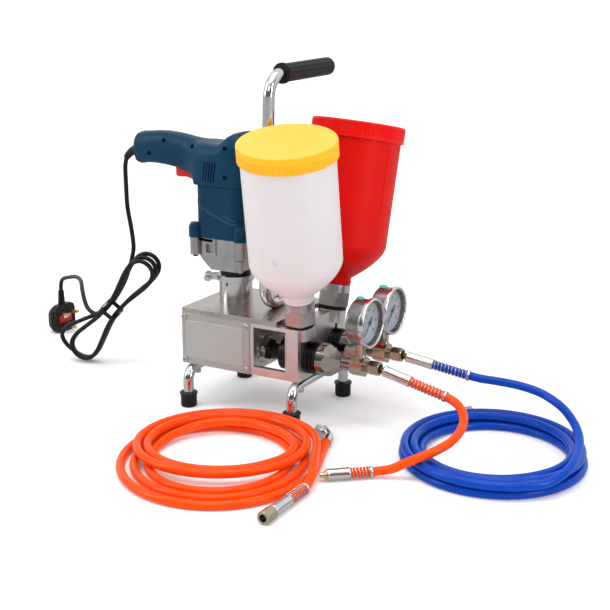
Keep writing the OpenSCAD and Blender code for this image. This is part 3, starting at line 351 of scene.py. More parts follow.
@dataclass(frozen=True)
class TwoTone(Moulded):
    """Moulded plastic painted a lighter colour past a plane across its own axis: painted light on the top,
    which faces the light from above.
    """

    # the top's colour, lighter than the skirt: painted light from above
    top: Colour = (1.0, 0.53, 0.07)
    axis: Point = (0.0427, -0.2079, 0.9772)
    edge: float = 0.3942
    blend: float = 0.0012

    def tint(self, paint: Paint) -> object:
        """The top's painted lighter colour past the edge."""
        along = paint.node("VectorMath", {"operation": "DOT_PRODUCT"})
        paint.feed(along.inputs[0], paint.spot())
        paint.feed(along.inputs[1], self.axis)
        past = Num(paint.tree, along.outputs["Value"]).ramp(self.edge, self.edge + self.blend)
        return paint.mix(past, super().tint(paint), self.top)


@dataclass(frozen=True)
class HoseSkin(Moulded):
    """Extruded hose skin with faint pale scuffs."""

    scuffed: Colour = (0.9, 0.75, 0.6)

    def tint(self, paint: Paint) -> object:
        """The colour with faint pale scuffs."""
        scuff = paint.noise(130, 6, roughness=0.75).ramp(0.6, 0.75)
        return paint.mix(scuff * 0.08, super().tint(paint), self.scuffed)


@dataclass(frozen=True)
class DialFace(Moulded):
    """A printed dial seen through the filling liquid, greener above the liquid's level."""

    level: float = 0.156
    blend: float = 0.014
    dry: Colour = (0.26, 0.32, 0.21)

    def tint(self, paint: Paint) -> object:
        """Cool white below the level, greenish above it."""
        above = paint.height().ramp(self.level, self.level + self.blend) * 0.75
        return paint.mix(above, super().tint(paint), self.dry)


@dataclass(frozen=True)
class Clear(Finish):
    """Clear window glass."""

    cover: float = 0.03

    def dress(self, paint: Paint) -> None:
        """A thin clear pane with faint smears."""
        smear = paint.noise(60, 4).ramp(0.45, 0.8)
        paint.surface(Base_Color=self.colour, Roughness=smear * 0.06 + self.roughness,
                      Alpha=smear * 0.05 + self.cover)


BODY_ALU = BrushedMetal("body_alu", (0.84, 0.82, 0.80), 0.4, Axis.Y)
BLOCK_ALU = BrushedMetal("block_alu", (0.66, 0.64, 0.615), 0.34, Axis.Y, stain=0.12)
PLATE_ALU = BrushedMetal("plate_alu", (0.80, 0.765, 0.74), 0.42, Axis.X, stain=0.06)
# darker than the other plates: painted shade and reflection of the drill above the top plate
TOP_ALU_SHADED = BrushedMetal("top_alu", (0.52, 0.485, 0.455), 0.3, Axis.Y, stain=0.16)
COVER_ALU = BrushedMetal("cover_alu", (0.60, 0.585, 0.565), 0.47, Axis.Z, depth=0.00001, stain=0.05)
LABEL_ALU = BrushedMetal("label_alu", (0.68, 0.665, 0.645), 0.5, Axis.X, depth=0.000006, stain=0.03)
TURNED_ALU = BrushedMetal("turned_alu", (0.66, 0.645, 0.645), 0.19, Axis.Z, depth=0.000005, stain=0.06)
GAUGE_STEEL = BrushedMetal("gauge_steel", (0.33, 0.325, 0.33), 0.28, Axis.Z, depth=0.000004, stain=0.04)
NUT_STEEL = BrushedMetal("nut_steel", (0.60, 0.58, 0.57), 0.38, Axis.Z, depth=0.000005, stain=0.06)
BLACK_STEEL = PolishedMetal("black_steel", (0.03, 0.032, 0.037), 0.3)
CHROME = PolishedMetal("chrome", (0.70, 0.695, 0.70), 0.07)
CONE_CHROME = PolishedMetal("cone_chrome", (0.36, 0.325, 0.30), 0.07)
FERRULE_CHROME = PolishedMetal("ferrule_chrome", (0.76, 0.74, 0.74), 0.1)
NICKEL = PolishedMetal("nickel", (0.50, 0.43, 0.33), 0.13, haze=0.08)
STEM_BRASS = PolishedMetal("stem_brass", (0.74, 0.66, 0.36), 0.16)
STEEL = PolishedMetal("steel", (0.70, 0.695, 0.69), 0.26, haze=0.12)
SPRING_STEEL = PolishedMetal("spring_steel", (0.58, 0.54, 0.52), 0.14)
ZINC = PolishedMetal("zinc", (0.62, 0.615, 0.60), 0.17)
# near-black and without gloss: dark screws, with painted shade of the holes they sit in
SCREW_AND_HOLE_SHADE = Moulded("screw_black", (0.002, 0.002, 0.002), 0.45, gloss=0.06)
BRASS = PolishedMetal("pin_brass", (0.80, 0.62, 0.32), 0.2)
CAST_ALU = CastMetal("cast_alu", (0.44, 0.435, 0.44), 0.32, grit=0.00003)
BLUE_CASE = Moulded("blue_case", (0.0025, 0.037, 0.078), 0.36, grain=0.00005, scale=1300, gloss=0.13)
# a lighter copy of the case's blue on its beads: painted highlight
BEAD_BLUE_HIGHLIT = Moulded("blue_line", (0.006, 0.055, 0.11), 0.3, gloss=0.4)
RED_TRIGGER = Moulded("red_trigger", (0.62, 0.008, 0.008), 0.3)
FUSE_RED = Moulded("fuse_red", (0.45, 0.012, 0.006), 0.42)
FUSE_WHITE = Moulded("fuse_white", (0.80, 0.80, 0.78), 0.4)
# its tint paints a pinkish glow of bounced orange light low down and one bluish reflection
WHITE_HOPPER = Milky("white_hopper", (0.675, 0.645, 0.66), 0.4, scatter=0.15, tone=0.02, grain=0.00002,
                     gloss=0.25)
RED_HOPPER = Moulded("red_hopper", (0.64, 0.004, 0.002), 0.42, scatter=0.03, tone=0.05, gloss=0.12)
RED_LID = Moulded("red_lid", (0.74, 0.005, 0.003), 0.42, tone=0.05, gloss=0.15)
# the lid's top is painted lighter than its skirt: painted light from above
YELLOW_LID = TwoTone("yellow_lid", (1.0, 0.47, 0.012), 0.42, tone=0.03, gloss=0.25)
BLACK_RUBBER = Moulded("black_rubber", (0.008, 0.008, 0.009), 0.46, grain=0.00006, scale=900, gloss=0.24)
BLACK_PLASTIC = Moulded("black_plastic", (0.012, 0.010, 0.010), 0.32, gloss=0.2)
# black strips in the vents and slot: painted shade of the housing's hollow inside
VENT_SHADE = Moulded("vent_black", (0.001, 0.001, 0.001), 0.7, gloss=0.02)
NEEDLE_BLACK = Moulded("needle_black", (0.004, 0.004, 0.004), 0.4)
DIAL_WHITE = DialFace("dial_white", (0.31, 0.345, 0.40), 0.5, grain=0.00001, tone=0.02)
DIAL_INK = Moulded("dial_ink", (0.008, 0.008, 0.012), 0.5, grain=0.00001)
DIAL_BLUE = Moulded("dial_blue", (0.08, 0.10, 0.34), 0.5, grain=0.00001)
DIAL_RED = Moulded("dial_red", (0.55, 0.03, 0.03), 0.5, grain=0.00001)
TEAL_RUBBER = Moulded("teal_rubber", (0.06, 0.52, 0.52), 0.4)
CORD_BLACK = Moulded("cord_black", (0.009, 0.009, 0.010), 0.38, grain=0.00004, gloss=0.25)
ORANGE_SKIN = HoseSkin("orange_skin", (1.0, 0.075, 0.0), 0.22, gloss=0.2, tone=0.07)
BLUE_SKIN = HoseSkin("blue_skin", (0.0004, 0.055, 0.43), 0.24, gloss=0.16, coat=0.04, tone=0.08)
WINDOW = Clear("window", (0.95, 0.98, 1.0), 0.03)


# ---- meshes ----


def turn(degrees: float, axis: str) -> Matrix:
    """A turn about an axis of the frame."""
    return Matrix.Rotation(math.radians(degrees), 4, axis)


def shift(x: float, y: float, z: float) -> Matrix:
    """A shift in millimetres."""
    return Matrix.Translation(Vector((x, y, z)) * MM)


class Blank:
    """A mesh in the making: a bmesh and the operators that shape it. Sizes are in millimetres."""

    def __init__(self) -> None:
        """An empty mesh."""
        self.bm = bmesh.new()

    @classmethod
    def of_node(cls, node: str, joined: bool = True) -> "Blank":
        """A merged copy of a CAD node's mesh, with its flat faces joined if asked."""
        blank = cls()
        blank.bm.from_mesh(frame["nodes"][node].data)
        bmesh.ops.remove_doubles(blank.bm, verts=blank.bm.verts, dist=2e-6)
        if joined:
            bmesh.ops.dissolve_limit(blank.bm, angle_limit=math.radians(1.2), verts=blank.bm.verts,
                                     edges=blank.bm.edges, delimit=set())
        return blank

    @classmethod
    def lathe(cls, profile: Sequence[tuple[float, float]], steps: int = 64) -> "Blank":
        """A turned part about +Z.

        Args:
            profile: pairs of radius and height, from the lower middle outwards and up.
            steps: facets round the axis.

        Returns:
            The closed part.
        """
        blank = cls()
        verts = [blank.bm.verts.new((r * MM, 0, z * MM)) for r, z in profile]
        edges = [blank.bm.edges.new(pair) for pair in zip(verts, verts[1:])]
        bmesh.ops.spin(blank.bm, geom=verts + edges, cent=(0, 0, 0), axis=(0, 0, 1), angle=TAU, steps=steps,
                       use_merge=True)
        bmesh.ops.remove_doubles(blank.bm, verts=blank.bm.verts, dist=1e-7)
        bmesh.ops.recalc_face_normals(blank.bm, faces=blank.bm.faces)
        return blank

    @classmethod
    def prism(cls, outline: Sequence[tuple[float, float]], height: float) -> "Blank":
        """An outline in XY raised along +Z."""
        blank = cls()
        face = blank.bm.faces.new([blank.bm.verts.new((x * MM, y * MM, 0)) for x, y in outline])
        raised = bmesh.ops.extrude_face_region(blank.bm, geom=[face])
        bmesh.ops.translate(blank.bm, vec=(0, 0, height * MM),
                            verts=[v for v in raised["geom"] if isinstance(v, bmesh.types.BMVert)])
        bmesh.ops.recalc_face_normals(blank.bm, faces=blank.bm.faces)
        return blank

    @classmethod
    def box(cls, size: Point) -> "Blank":
        """A box centred in XY, standing on Z 0."""
        blank = cls()
        bmesh.ops.create_cube(blank.bm, size=1.0)
        bmesh.ops.scale(blank.bm, vec=Vector(size) * MM, verts=blank.bm.verts)
        return blank.place(shift(0, 0, size[2] / 2))

    @classmethod
    def arc(cls, outline: Sequence[tuple[float, float]], start: float, sweep: float, steps: int) -> "Blank":
        """A section of radius and height, swept part of the way round +Z from an angle in degrees."""
        blank = cls()
        face = blank.bm.faces.new([blank.bm.verts.new((r * MM, 0, z * MM)) for r, z in outline])
        bmesh.ops.spin(blank.bm, geom=[face], cent=(0, 0, 0), axis=(0, 0, 1), angle=math.radians(sweep),
                       steps=steps)
        bmesh.ops.recalc_face_normals(blank.bm, faces=blank.bm.faces)
        return blank.place(turn(start, "Z"))

    @classmethod
    def figures(cls, text: str, height: float, depth: float) -> "Blank":
        """Raised figures, centred in XY and standing on Z 0."""
        curve = bpy.data.curves.new("figures", "FONT")
        curve.body, curve.align_x, curve.align_y = text, "CENTER", "CENTER"
        curve.extrude, curve.resolution_u = depth / height / 2, 3
        thing = bpy.data.objects.new("figures", curve)
        mesh = bpy.data.meshes.new_from_object(thing)
        blank = cls()
        blank.bm.from_mesh(mesh)
        bmesh.ops.remove_doubles(blank.bm, verts=blank.bm.verts, dist=1e-4)
        bmesh.ops.scale(blank.bm, vec=(height * MM,) * 3, verts=blank.bm.verts)
        bpy.data.objects.remove(thing)
        bpy.data.curves.remove(curve)
        bpy.data.meshes.remove(mesh)
        return blank.place(shift(0, 0, depth / 2))

    @classmethod
    def joined(cls, blanks: Iterable["Blank"]) -> "Blank":
        """Several parts as one mesh."""
        whole = cls()
        for blank in blanks:
            whole.add(blank)
        return whole

    def place(self, matrix: Matrix) -> "Blank":
        """Moves the whole mesh."""
        bmesh.ops.transform(self.bm, matrix=matrix, verts=self.bm.verts)
        return self

    def add(self, other: "Blank") -> "Blank":
        """Takes in another mesh."""
        mesh = bpy.data.meshes.new("part")
        other.bm.to_mesh(mesh)
        other.bm.free()
        self.bm.from_mesh(mesh)
        bpy.data.meshes.remove(mesh)
        return self

    def common(self, other: "Blank") -> "Blank":
        """Keeps only what lies inside another closed mesh."""
        return self.cut(other, "INTERSECT")

    def cut(self, other: "Blank", operation: str = "DIFFERENCE") -> "Blank":
        """Takes another closed mesh away, or applies another boolean operation."""
        things = []
        for blank in (self, other):
            mesh = bpy.data.meshes.new("part")
            blank.bm.to_mesh(mesh)
            things.append(bpy.data.objects.new("part", mesh))
            bpy.context.scene.collection.objects.link(things[-1])
        tool = things[0].modifiers.new("cut", "BOOLEAN")
        tool.operation, tool.object, tool.solver = operation, things[1], "EXACT"
        result = things[0].evaluated_get(bpy.context.evaluated_depsgraph_get()).to_mesh()
        self.bm.clear()
        self.bm.from_mesh(result)
        for thing in things:
            mesh = thing.data
            bpy.data.objects.remove(thing)
            bpy.data.meshes.remove(mesh)
        return self

    def rounded(self, width: float, segments: int = 2, angle: float = 30) -> "Blank":
        """Rounds every edge that turns by more than an angle."""
        limit = math.radians(angle)
        sharp = [e for e in self.bm.edges if e.is_manifold and e.calc_face_angle(0) > limit]
        if sharp and width:
            bmesh.ops.bevel(self.bm, geom=sharp, offset=width * MM, offset_type="OFFSET", segments=segments,
                            affect="EDGES", profile=0.5, clamp_overlap=True, material=-1)
        return self

    def piece(self, name: str, finish: Finish, body: str, *nodes: str, slot: str | None = None,
              sharp: float = 40) -> bpy.types.Object:
        """Makes the finished piece.

        Args:
            name: the piece's name.
            finish: its surface.
            body: the body that it rides on.
            nodes: CAD nodes that it stands for.
            slot: the record's material slot, if no node gives it; not used.
            sharp: edges that turn by more than this stay crisp.

        Returns:
            The object.
        """
        mesh = bpy.data.meshes.new(name)
        self.bm.to_mesh(mesh)
        self.bm.free()
        mesh.shade_smooth()
        mesh.set_sharp_from_angle(angle=math.radians(sharp))
        thing = settle(bpy.data.objects.new(name, mesh), finish, body, *nodes, slot=slot)
        return crisp(thing)


def crisp(thing: bpy.types.Object) -> bpy.types.Object:
    """Weights a piece's normals by face area, so that flat faces look flat beside rounded edges."""
    rough = thing.data
    name = rough.name
    thing.modifiers.new("normals", "WEIGHTED_NORMAL").keep_sharp = True
    graph = bpy.context.evaluated_depsgraph_get()
    thing.data = bpy.data.meshes.new_from_object(thing.evaluated_get(graph), depsgraph=graph)
    thing.modifiers.clear()
    bpy.data.meshes.remove(rough)
    thing.data.name = name
    return thing


def settle(thing: bpy.types.Object, finish: Finish, body: str, *nodes: str,
           slot: str | None = None) -> bpy.types.Object:
    """Puts a new object in the scene with its finish and body, and hides the CAD nodes that it replaces."""
    bpy.context.scene.collection.objects.link(thing)
    thing.data.materials.append(finish.material())
    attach(thing, body)
    if nodes:
        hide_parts(*nodes)
    LOG.info("piece %s on %s", thing.name, body)
    return thing


# ---- routes ----


def spline(points: Sequence[Vector], steps: int) -> list[Vector]:
    """A smooth curve through a route's points, with that many steps a span."""
    path = []
    last = len(points) - 1
    for i in range(last):
        a, b, c, d = points[max(i - 1, 0)], points[i], points[i + 1], points[min(i + 2, last)]
        for k in range(steps):
            t = k / steps
            bend = (2 * a - 5 * b + 4 * c - d) + t * (3 * b - a - 3 * c + d)
            path.append(b + 0.5 * t * ((c - a) + t * bend))
    return [*path, points[last]]


def route(points: Iterable[Point]) -> list[Vector]:
    """Points in millimetres as vectors in metres."""
    return [Vector(p) * MM for p in points]


def length_of(path: Sequence[Vector]) -> float:
    """Length of a line of points."""
    return sum((b - a).length for a, b in zip(path, path[1:]))


def smooth(value: float) -> float:
    """A soft step from 0 to 1."""
    v = min(max(value, 0), 1)
    return v * v * (3 - 2 * v)


def add_line(curve: bpy.types.Curve, path: Sequence[Vector]) -> bpy.types.Spline:
    """Adds one open line to a curve."""
    line = curve.splines.new("POLY")
    line.points.add(len(path) - 1)
    line.points.foreach_set("co", [c for p in path for c in (*p, 1.0)])
    line.use_smooth = True
    return line


def tube(name: str, path: Sequence[Vector], radius: float | Sequence[float],
         sides: int = 16) -> bpy.types.Object:
    """A round tube as a curve of one open line.

    Args:
        name: the curve's name.
        path: its centreline.
        radius: one radius, or one for each point.
        sides: facets round it.

    Returns:
        The curve object, not yet in the scene.
    """
    curve = bpy.data.curves.new(name, "CURVE")
    curve.dimensions = "3D"
    curve.bevel_depth = radius if isinstance(radius, float) else 1.0
    curve.bevel_resolution = sides // 4 - 1
    curve.use_fill_caps = True
    line = add_line(curve, path)
    if not isinstance(radius, float):
        line.points.foreach_set("radius", list(radius))
    return bpy.data.objects.new(name, curve)


# ---- camera, light and floor ----


@dataclass(frozen=True)
class SoftBox:
    """A rectangular soft light: its place, the point it is aimed at, its size and its power in watts."""

    name: str
    place: Point
    aim: Point
    size: tuple[float, float]
    power: float

    def build(self) -> None:
        """Makes the light."""
        data = bpy.data.lights.new(self.name, "AREA")
        data.shape = "RECTANGLE"
        data.size, data.size_y = self.size
        data.energy = self.power
        lamp = bpy.data.objects.new(self.name, data)
        lamp.location = self.place
        lamp.rotation_mode = "QUATERNION"
        lamp.rotation_quaternion = (Vector(self.aim) - Vector(self.place)).to_track_quat("-Z", "Y")
        bpy.context.scene.collection.objects.link(lamp)


SOFT_BOXES = (
    SoftBox("top_box", (0.1, -0.3, 2.2), (0, 0, 0.1), (1.6, 1.6), 22),
    SoftBox("left_box", (-1.5, -1.3, 1.3), (0, 0, 0.2), (0.5, 1.6), 14),
    SoftBox("right_box", (1.9, -0.5, 0.9), (0.1, 0, 0.15), (0.4, 1.4), 12),
    SoftBox("front_box", (0.5, -2.2, 1.7), (0, 0, 0.15), (1.8, 0.9), 7),
)


@dataclass
class Studio:
    """The camera, both floors and the soft light."""

    stand: Point = (0.880, -1.4069, 0.604)
    azimuth: float = 29.83
    elevation: float = 15.78
    focal_px: float = 1262.0
    picture_px: int = 610
    floor_half: float = 14.0
    floor_grey: float = 0.95
    floor_glow: float = 0.4
    near_glow: float = 0.2
    glow_reach: tuple[float, float] = (0.5, 2.6)
    dull_grey: float = 0.55
    dull_depth_mm: float = 0.5
    room_light: float = 0.88
    dim_side: Colour = (0.15, 0.135, 0.135)
    dim_height: tuple[float, float] = (0.45, 0.85)
    dim_spread: tuple[float, float] = (-0.1, 0.6)

    def camera(self) -> None:
        """Makes the camera at its calibrated place."""
        data = bpy.data.cameras.new("camera")
        data.sensor_width = 36.0
        data.lens = self.focal_px / self.picture_px * data.sensor_width
        data.clip_start, data.clip_end = 0.02, 60
        a, e = math.radians(self.azimuth), math.radians(self.elevation)
        back = Vector((math.sin(a) * math.cos(e), -math.cos(a) * math.cos(e), math.sin(e)))
        camera = bpy.data.objects.new("camera", data)
        camera.location = self.stand
        camera.rotation_mode = "QUATERNION"
        camera.rotation_quaternion = (-back).to_track_quat("-Z", "Y")
        bpy.context.scene.collection.objects.link(camera)
        bpy.context.scene.camera = camera

    def floor(self, name: str, grey: float, glow: float, height: float) -> bpy.types.Object:
        """One wide plain floor that glows a little, more so far away.

        Args:
            name: its name, also that of its material.
            grey: its base colour.
            glow: its emission strength.
            height: its height in millimetres.

        Returns:
            The floor's object.
        """
        blank = Blank()
        bmesh.ops.create_grid(blank.bm, x_segments=1, y_segments=1, size=self.floor_half)
        mesh = bpy.data.meshes.new(name)
        blank.place(shift(0, 0, height)).bm.to_mesh(mesh)
        blank.bm.free()
        floor = bpy.data.objects.new(name, mesh)
        bpy.context.scene.collection.objects.link(floor)
        paint = Paint(name)
        away = paint.node("VectorMath", {"operation": "LENGTH"})
        paint.feed(away.inputs[0], paint.spot())
        far = Num(paint.tree, away.outputs["Value"]).ramp(*self.glow_reach)
        glowing = paint.mix(far, (self.near_glow,) * 3, (1.0, 1.0, 1.0))
        paint.surface(Base_Color=(grey, grey, grey), Roughness=1.0, Specular_IOR_Level=0.0,
                      Emission_Color=glowing, Emission_Strength=glow)
        floor.data.materials.append(paint.material)
        return floor

    def floors(self) -> None:
        """The pale floor, and a duller one under it for reflections only, so that metal keeps contrast."""
        pale = self.floor("floor", self.floor_grey, self.floor_glow, 0)
        dull = self.floor("dull_floor", self.dull_grey, 0, -self.dull_depth_mm)
        pale.visible_glossy = pale.visible_shadow = False
        dull.visible_camera = dull.visible_diffuse = False

    def room(self) -> None:
        """The room's own light: white overhead and behind, dim and warm low down on the camera's side."""
        world = bpy.data.worlds.new("room")
        world.use_nodes = True
        bpy.context.scene.world = world
        nodes = Nodes(world.node_tree)
        way = nodes.node("TexCoord").outputs["Generated"]
        facing = nodes.node("VectorMath", {"operation": "DOT_PRODUCT"})
        nodes.feed(facing.inputs[0], way)
        a = math.radians(self.azimuth)
        nodes.feed(facing.inputs[1], (math.sin(a), -math.cos(a), 0))
        low = 1 - nodes.along(Axis.Z, way).ramp(*self.dim_height)
        dim = Num(nodes.tree, facing.outputs["Value"]).ramp(*self.dim_spread) * low
        background = world.node_tree.nodes["Background"]
        nodes.feed(background.inputs["Color"], nodes.mix(dim, (1.0, 1.0, 1.0), self.dim_side))
        background.inputs["Strength"].default_value = self.room_light

    def light(self) -> None:
        """The room and its soft boxes."""
        self.room()
        for box in SOFT_BOXES:
            box.build()

    def build(self) -> None:
        """Makes the camera, the floors and the light."""
        bpy.context.scene.view_settings.view_transform = "Standard"
        self.camera()
        self.floors()
        self.light()


# ---- hoses ----


def stretched(x: float, y: float, along: float, across: float, lean: float = 30.0) -> tuple[float, float]:
    """A point in XY stretched along and across a direction in degrees."""
    a = math.radians(lean)
    u = (x * math.cos(a) + y * math.sin(a)) * along
    w = (y * math.cos(a) - x * math.sin(a)) * across
    return u * math.cos(a) - w * math.sin(a), u * math.sin(a) + w * math.cos(a)


@dataclass
class NeatCoil:
    """The blue hose's oval coil of two layers, laid clockwise from the top. Sizes are in millimetres."""

    centre: Point = (365, -41, 5.5)
    outer: float = 118.0
    turns: float = 107 / 24
    start: float = -45.0
    stretch: tuple[float, float] = (0.965, 1.04)
    pitch: float = 12.0
    rise: float = 11.7
    rings: int = 24

    def point(self, t: float) -> Point:
        """The centreline after t turns."""
        half = self.turns / 2
        r = self.outer - self.pitch * (half - abs(t - half))
        a = math.radians(self.start - 360 * t)
        x, y = stretched(r * math.cos(a), r * math.sin(a), *self.stretch)
        cx, cy, cz = self.centre
        return cx + x, cy + y, cz + self.rise * (1 - min(max((t - half) * 2 + 0.5, 0), 1))

    def points(self) -> list[Point]:
        """All points of the coil."""
        last = math.ceil(self.turns * self.rings - 1e-6)
        return [self.point(min(k / self.rings, self.turns)) for k in range(last + 1)]


@dataclass
class LooseCoil:
    """The orange hose's coil: wide turns on the floor, and tighter ones on top, further back.

    The climb and the shift to the upper turns' middle each have a first turn and a length in turns.
    """

    low_centre: Point = (75.6, -220, 5.5)
    high_centre: Point = (70.9, -195.4, 5.5)
    low_stretch: tuple[float, float] = (0.969, 1.09)
    high_stretch: tuple[float, float] = (0.971, 0.913)
    outer: float = 128.1
    inner: float = 85.2
    out_pitch: float = 13.1
    low: float = 2.52
    turns: int = 5
    start: float = 25.0
    rise: float = 11.7
    climb: tuple[float, float] = (2.48, 0.3)
    shifted: tuple[float, float] = (2.75, 0.4)
    rings: int = 24

    def point(self, t: float) -> Point:
        """The centreline after t turns."""
        inwards = (self.outer - self.inner) * min(t / self.low, 1)
        r = self.outer - inwards + self.out_pitch * max(t - self.low, 0)
        a = math.radians(self.start - 360 * t)
        w = smooth((t - self.shifted[0]) / self.shifted[1])
        along, across = (p + w * (q - p) for p, q in zip(self.low_stretch, self.high_stretch))
        x, y = stretched(r * math.cos(a), r * math.sin(a), along, across)
        cx, cy, cz = (p + w * (q - p) for p, q in zip(self.low_centre, self.high_centre))
        return cx + x, cy + y, cz + self.rise * smooth((t - self.climb[0]) / self.climb[1])

    def points(self) -> list[Point]:
        """All points of the coil."""
        return [self.point(k / self.rings) for k in range(self.turns * self.rings + 1)]


@dataclass
class HoseEnd:
    """The frame of a hose end: +X runs along the hose, and places along it are in millimetres."""

    place: Point
    heading: float
    droop: float = 0.0

    def matrix(self) -> Matrix:
        """From the end's own axes to the frame."""
        return shift(*self.place) @ turn(self.heading, "Z") @ turn(self.droop, "Y")

    def at(self, s: float) -> Point:
        """A point along the hose, in millimetres."""
        return tuple(self.matrix() @ Vector((s * MM, 0, 0)) / MM)

    def along(self, blank: Blank, x: float = 0.0) -> Blank:
        """Lays a part that was turned about +Z along the hose, from x on."""
        return blank.place(self.matrix() @ shift(x, 0, 0) @ turn(90, "Y"))


@dataclass(frozen=True)
class Guard:
    """A spring guard along a hose end: its start, its length in millimetres and its curls."""

    start: float
    length: float
    curls: int

    def band_x(self) -> float:
        """Where the ring at its far end starts."""
        return self.start + self.length - 2


@dataclass(frozen=True)
class Nut:
    """A six-sided nut: its width over the flats, its length and its bore, in millimetres."""

    flats: float
    length: float
    bore: float


OUTLET_GUARD = Guard(44, 50, 10)
WHIP_GUARD = Guard(28, 26, 6)
TAIL_GUARD = Guard(0, 36, 8)
OUTLET_NUT = Nut(17, 15, 12)
TAIL_NUT = Nut(14.6, 20, 9)
BLUE_NUT = Nut(14.6, 12, 9)


@dataclass
class Hoses:
    """Both delivery hoses, the whip and all their end fittings. Sizes are in millimetres."""

    hose_r: float = 5.5
    ferrule_r: float = 7.5
    end_ferrule_r: float = 7.0
    outlet_y: float = 33.0
    outlet_z: float = 87.0
    outlet_nut_x: float = 188.0
    sleeve_x: float = 6.0
    sleeve_l: float = 38.0
    stem_l: float = 4.8
    tail_sleeve_l: float = 35.0
    blue_sleeve_l: float = 24.0
    wire_r: float = 0.62
    curl_r: float = 6.4
    curl_inset: float = 0.9
    curl_steps: int = 20
    whip_out: HoseEnd = field(default_factory=lambda: HoseEnd((203, -33, 87), 0, 13))
    blue_out: HoseEnd = field(default_factory=lambda: HoseEnd((203, 33, 87), 4, 9))
    whip_end: HoseEnd = field(default_factory=lambda: HoseEnd((218.4, -202.2, 8), 39.7))
    elbow: HoseEnd = field(default_factory=lambda: HoseEnd((170, -117, 8.6), 108))
    tail: HoseEnd = field(default_factory=lambda: HoseEnd((216, -286, 8.6), -90))
    blue_end: HoseEnd = field(default_factory=lambda: HoseEnd((270, 45, 8.6), 68))
    orange_coil: LooseCoil = field(default_factory=LooseCoil)
    blue_coil: NeatCoil = field(default_factory=NeatCoil)

    def hose(self, name: str, points: Sequence[Point], steps: int, finish: Finish,
             *nodes: str) -> tuple[bpy.types.Object, list[Vector]]:
        """One hose along its route. Returns the curve and its centreline."""
        path = spline(route(points), steps)
        thing = tube(name, path, self.hose_r * MM, 20)
        return settle(thing, finish, "machine", *nodes), path

    def ferrule(self, length: float, r: float) -> Blank:
        """A smooth crimped sleeve with a rim at each end."""
        return Blank.lathe([(0, 0), (r - 1.2, 0), (r - 0.3, 0.4), (r, 1.2), (r, 2.2), (r - 0.35, 2.8),
                            (r - 0.35, length - 3), (r, length - 2.4), (r, length - 0.9),
                            (r - 0.4, length - 0.2), (r - 1.2, length), (5.6, length), (0, length)], 48)

    def stem(self, length: float) -> Blank:
        """The flared stem that runs back from a sleeve."""
        return Blank.lathe([(0, -length), (3.2, -length), (3.3, -0.66 * length), (6.0, -0.3), (6.0, 0.3),
                            (0, 0.3)], 40)

    def band(self) -> Blank:
        """The narrow ring that holds a spring guard's far end."""
        r = self.hose_r
        return Blank.lathe([(r, 0), (r + 1.3, 0), (r + 1.7, 0.5), (r + 1.7, 2.1), (r + 1.3, 2.6), (r, 2.6),
                            (r, 0)], 40)

    def spring(self, end: HoseEnd, guard: Guard) -> list[Vector]:
        """The centreline of one spring guard."""
        count = self.curl_steps * guard.curls
        matrix = end.matrix()
        path = []
        for k in range(count + 1):
            a = TAU * k / self.curl_steps
            x = guard.start + self.curl_inset + (guard.length - 2 * self.curl_inset) * k / count
            path.append(matrix @ (Vector((x, self.curl_r * math.cos(a), self.curl_r * math.sin(a))) * MM))
        return path

    def springs(self, name: str, *runs: list[Vector]) -> bpy.types.Object:
        """The spring guards of one hose as one curve."""
        thing = tube(name, runs[0], self.wire_r * MM, 8)
        for run in runs[1:]:
            add_line(thing.data, run)
        return settle(thing, SPRING_STEEL, "machine", "spring_guards")

    def sleeves(self, name: str, *blanks: Blank) -> bpy.types.Object:
        """The crimped sleeves and bands of one hose."""
        return Blank.joined(blanks).piece(name, FERRULE_CHROME, "machine", "hose_ferrules", sharp=50)

    def stems(self, name: str, *blanks: Blank) -> bpy.types.Object:
        """The stems of one hose."""
        return Blank.joined(blanks).piece(name, STEM_BRASS, "machine", slot="nickel_brass", sharp=50)

    def nut(self, end: HoseEnd, x: float, size: Nut) -> Blank:
        """A nut along a hose end, with its corners turned down and a bore."""
        corner, inner, outer = size.flats / math.sqrt(3), size.bore / 2, size.flats / 2
        angles = [TAU * k / 6 for k in range(6)]
        blank = Blank.prism([(corner * math.cos(a), corner * math.sin(a)) for a in angles], size.length)
        blank.rounded(0.3, 1)
        low, high = -0.01, size.length + 0.01
        cut = Blank.lathe([(inner, low), (outer, low), (corner + 0.1, 1.9), (corner + 0.1, size.length - 1.9),
                           (outer, high), (inner, high), (inner, low)], 48)
        return end.along(blank.common(cut), x)

    def outlet_nut(self, side: int) -> Blank:
        """The nut that holds a hose to its outlet."""
        return self.nut(HoseEnd((0, side * self.outlet_y, self.outlet_z), 0), self.outlet_nut_x, OUTLET_NUT)

    def outlet_sleeve(self, out: HoseEnd) -> Blank:
        """The crimped sleeve at an outlet."""
        return out.along(self.ferrule(self.sleeve_l, self.ferrule_r), self.sleeve_x)

    def nuts(self, name: str, *blanks: Blank) -> bpy.types.Object:
        """The nuts of one hose."""
        return Blank.joined(blanks).piece(name, NICKEL, "machine", "hose_nuts", sharp=25)

    def cord(self, thing: bpy.types.Object, path: Sequence[Vector], lay: str,
             fittings: Sequence[bpy.types.Object | str]) -> None:
        """Measures one hose's centreline and keeps nothing."""
        length_of(path)

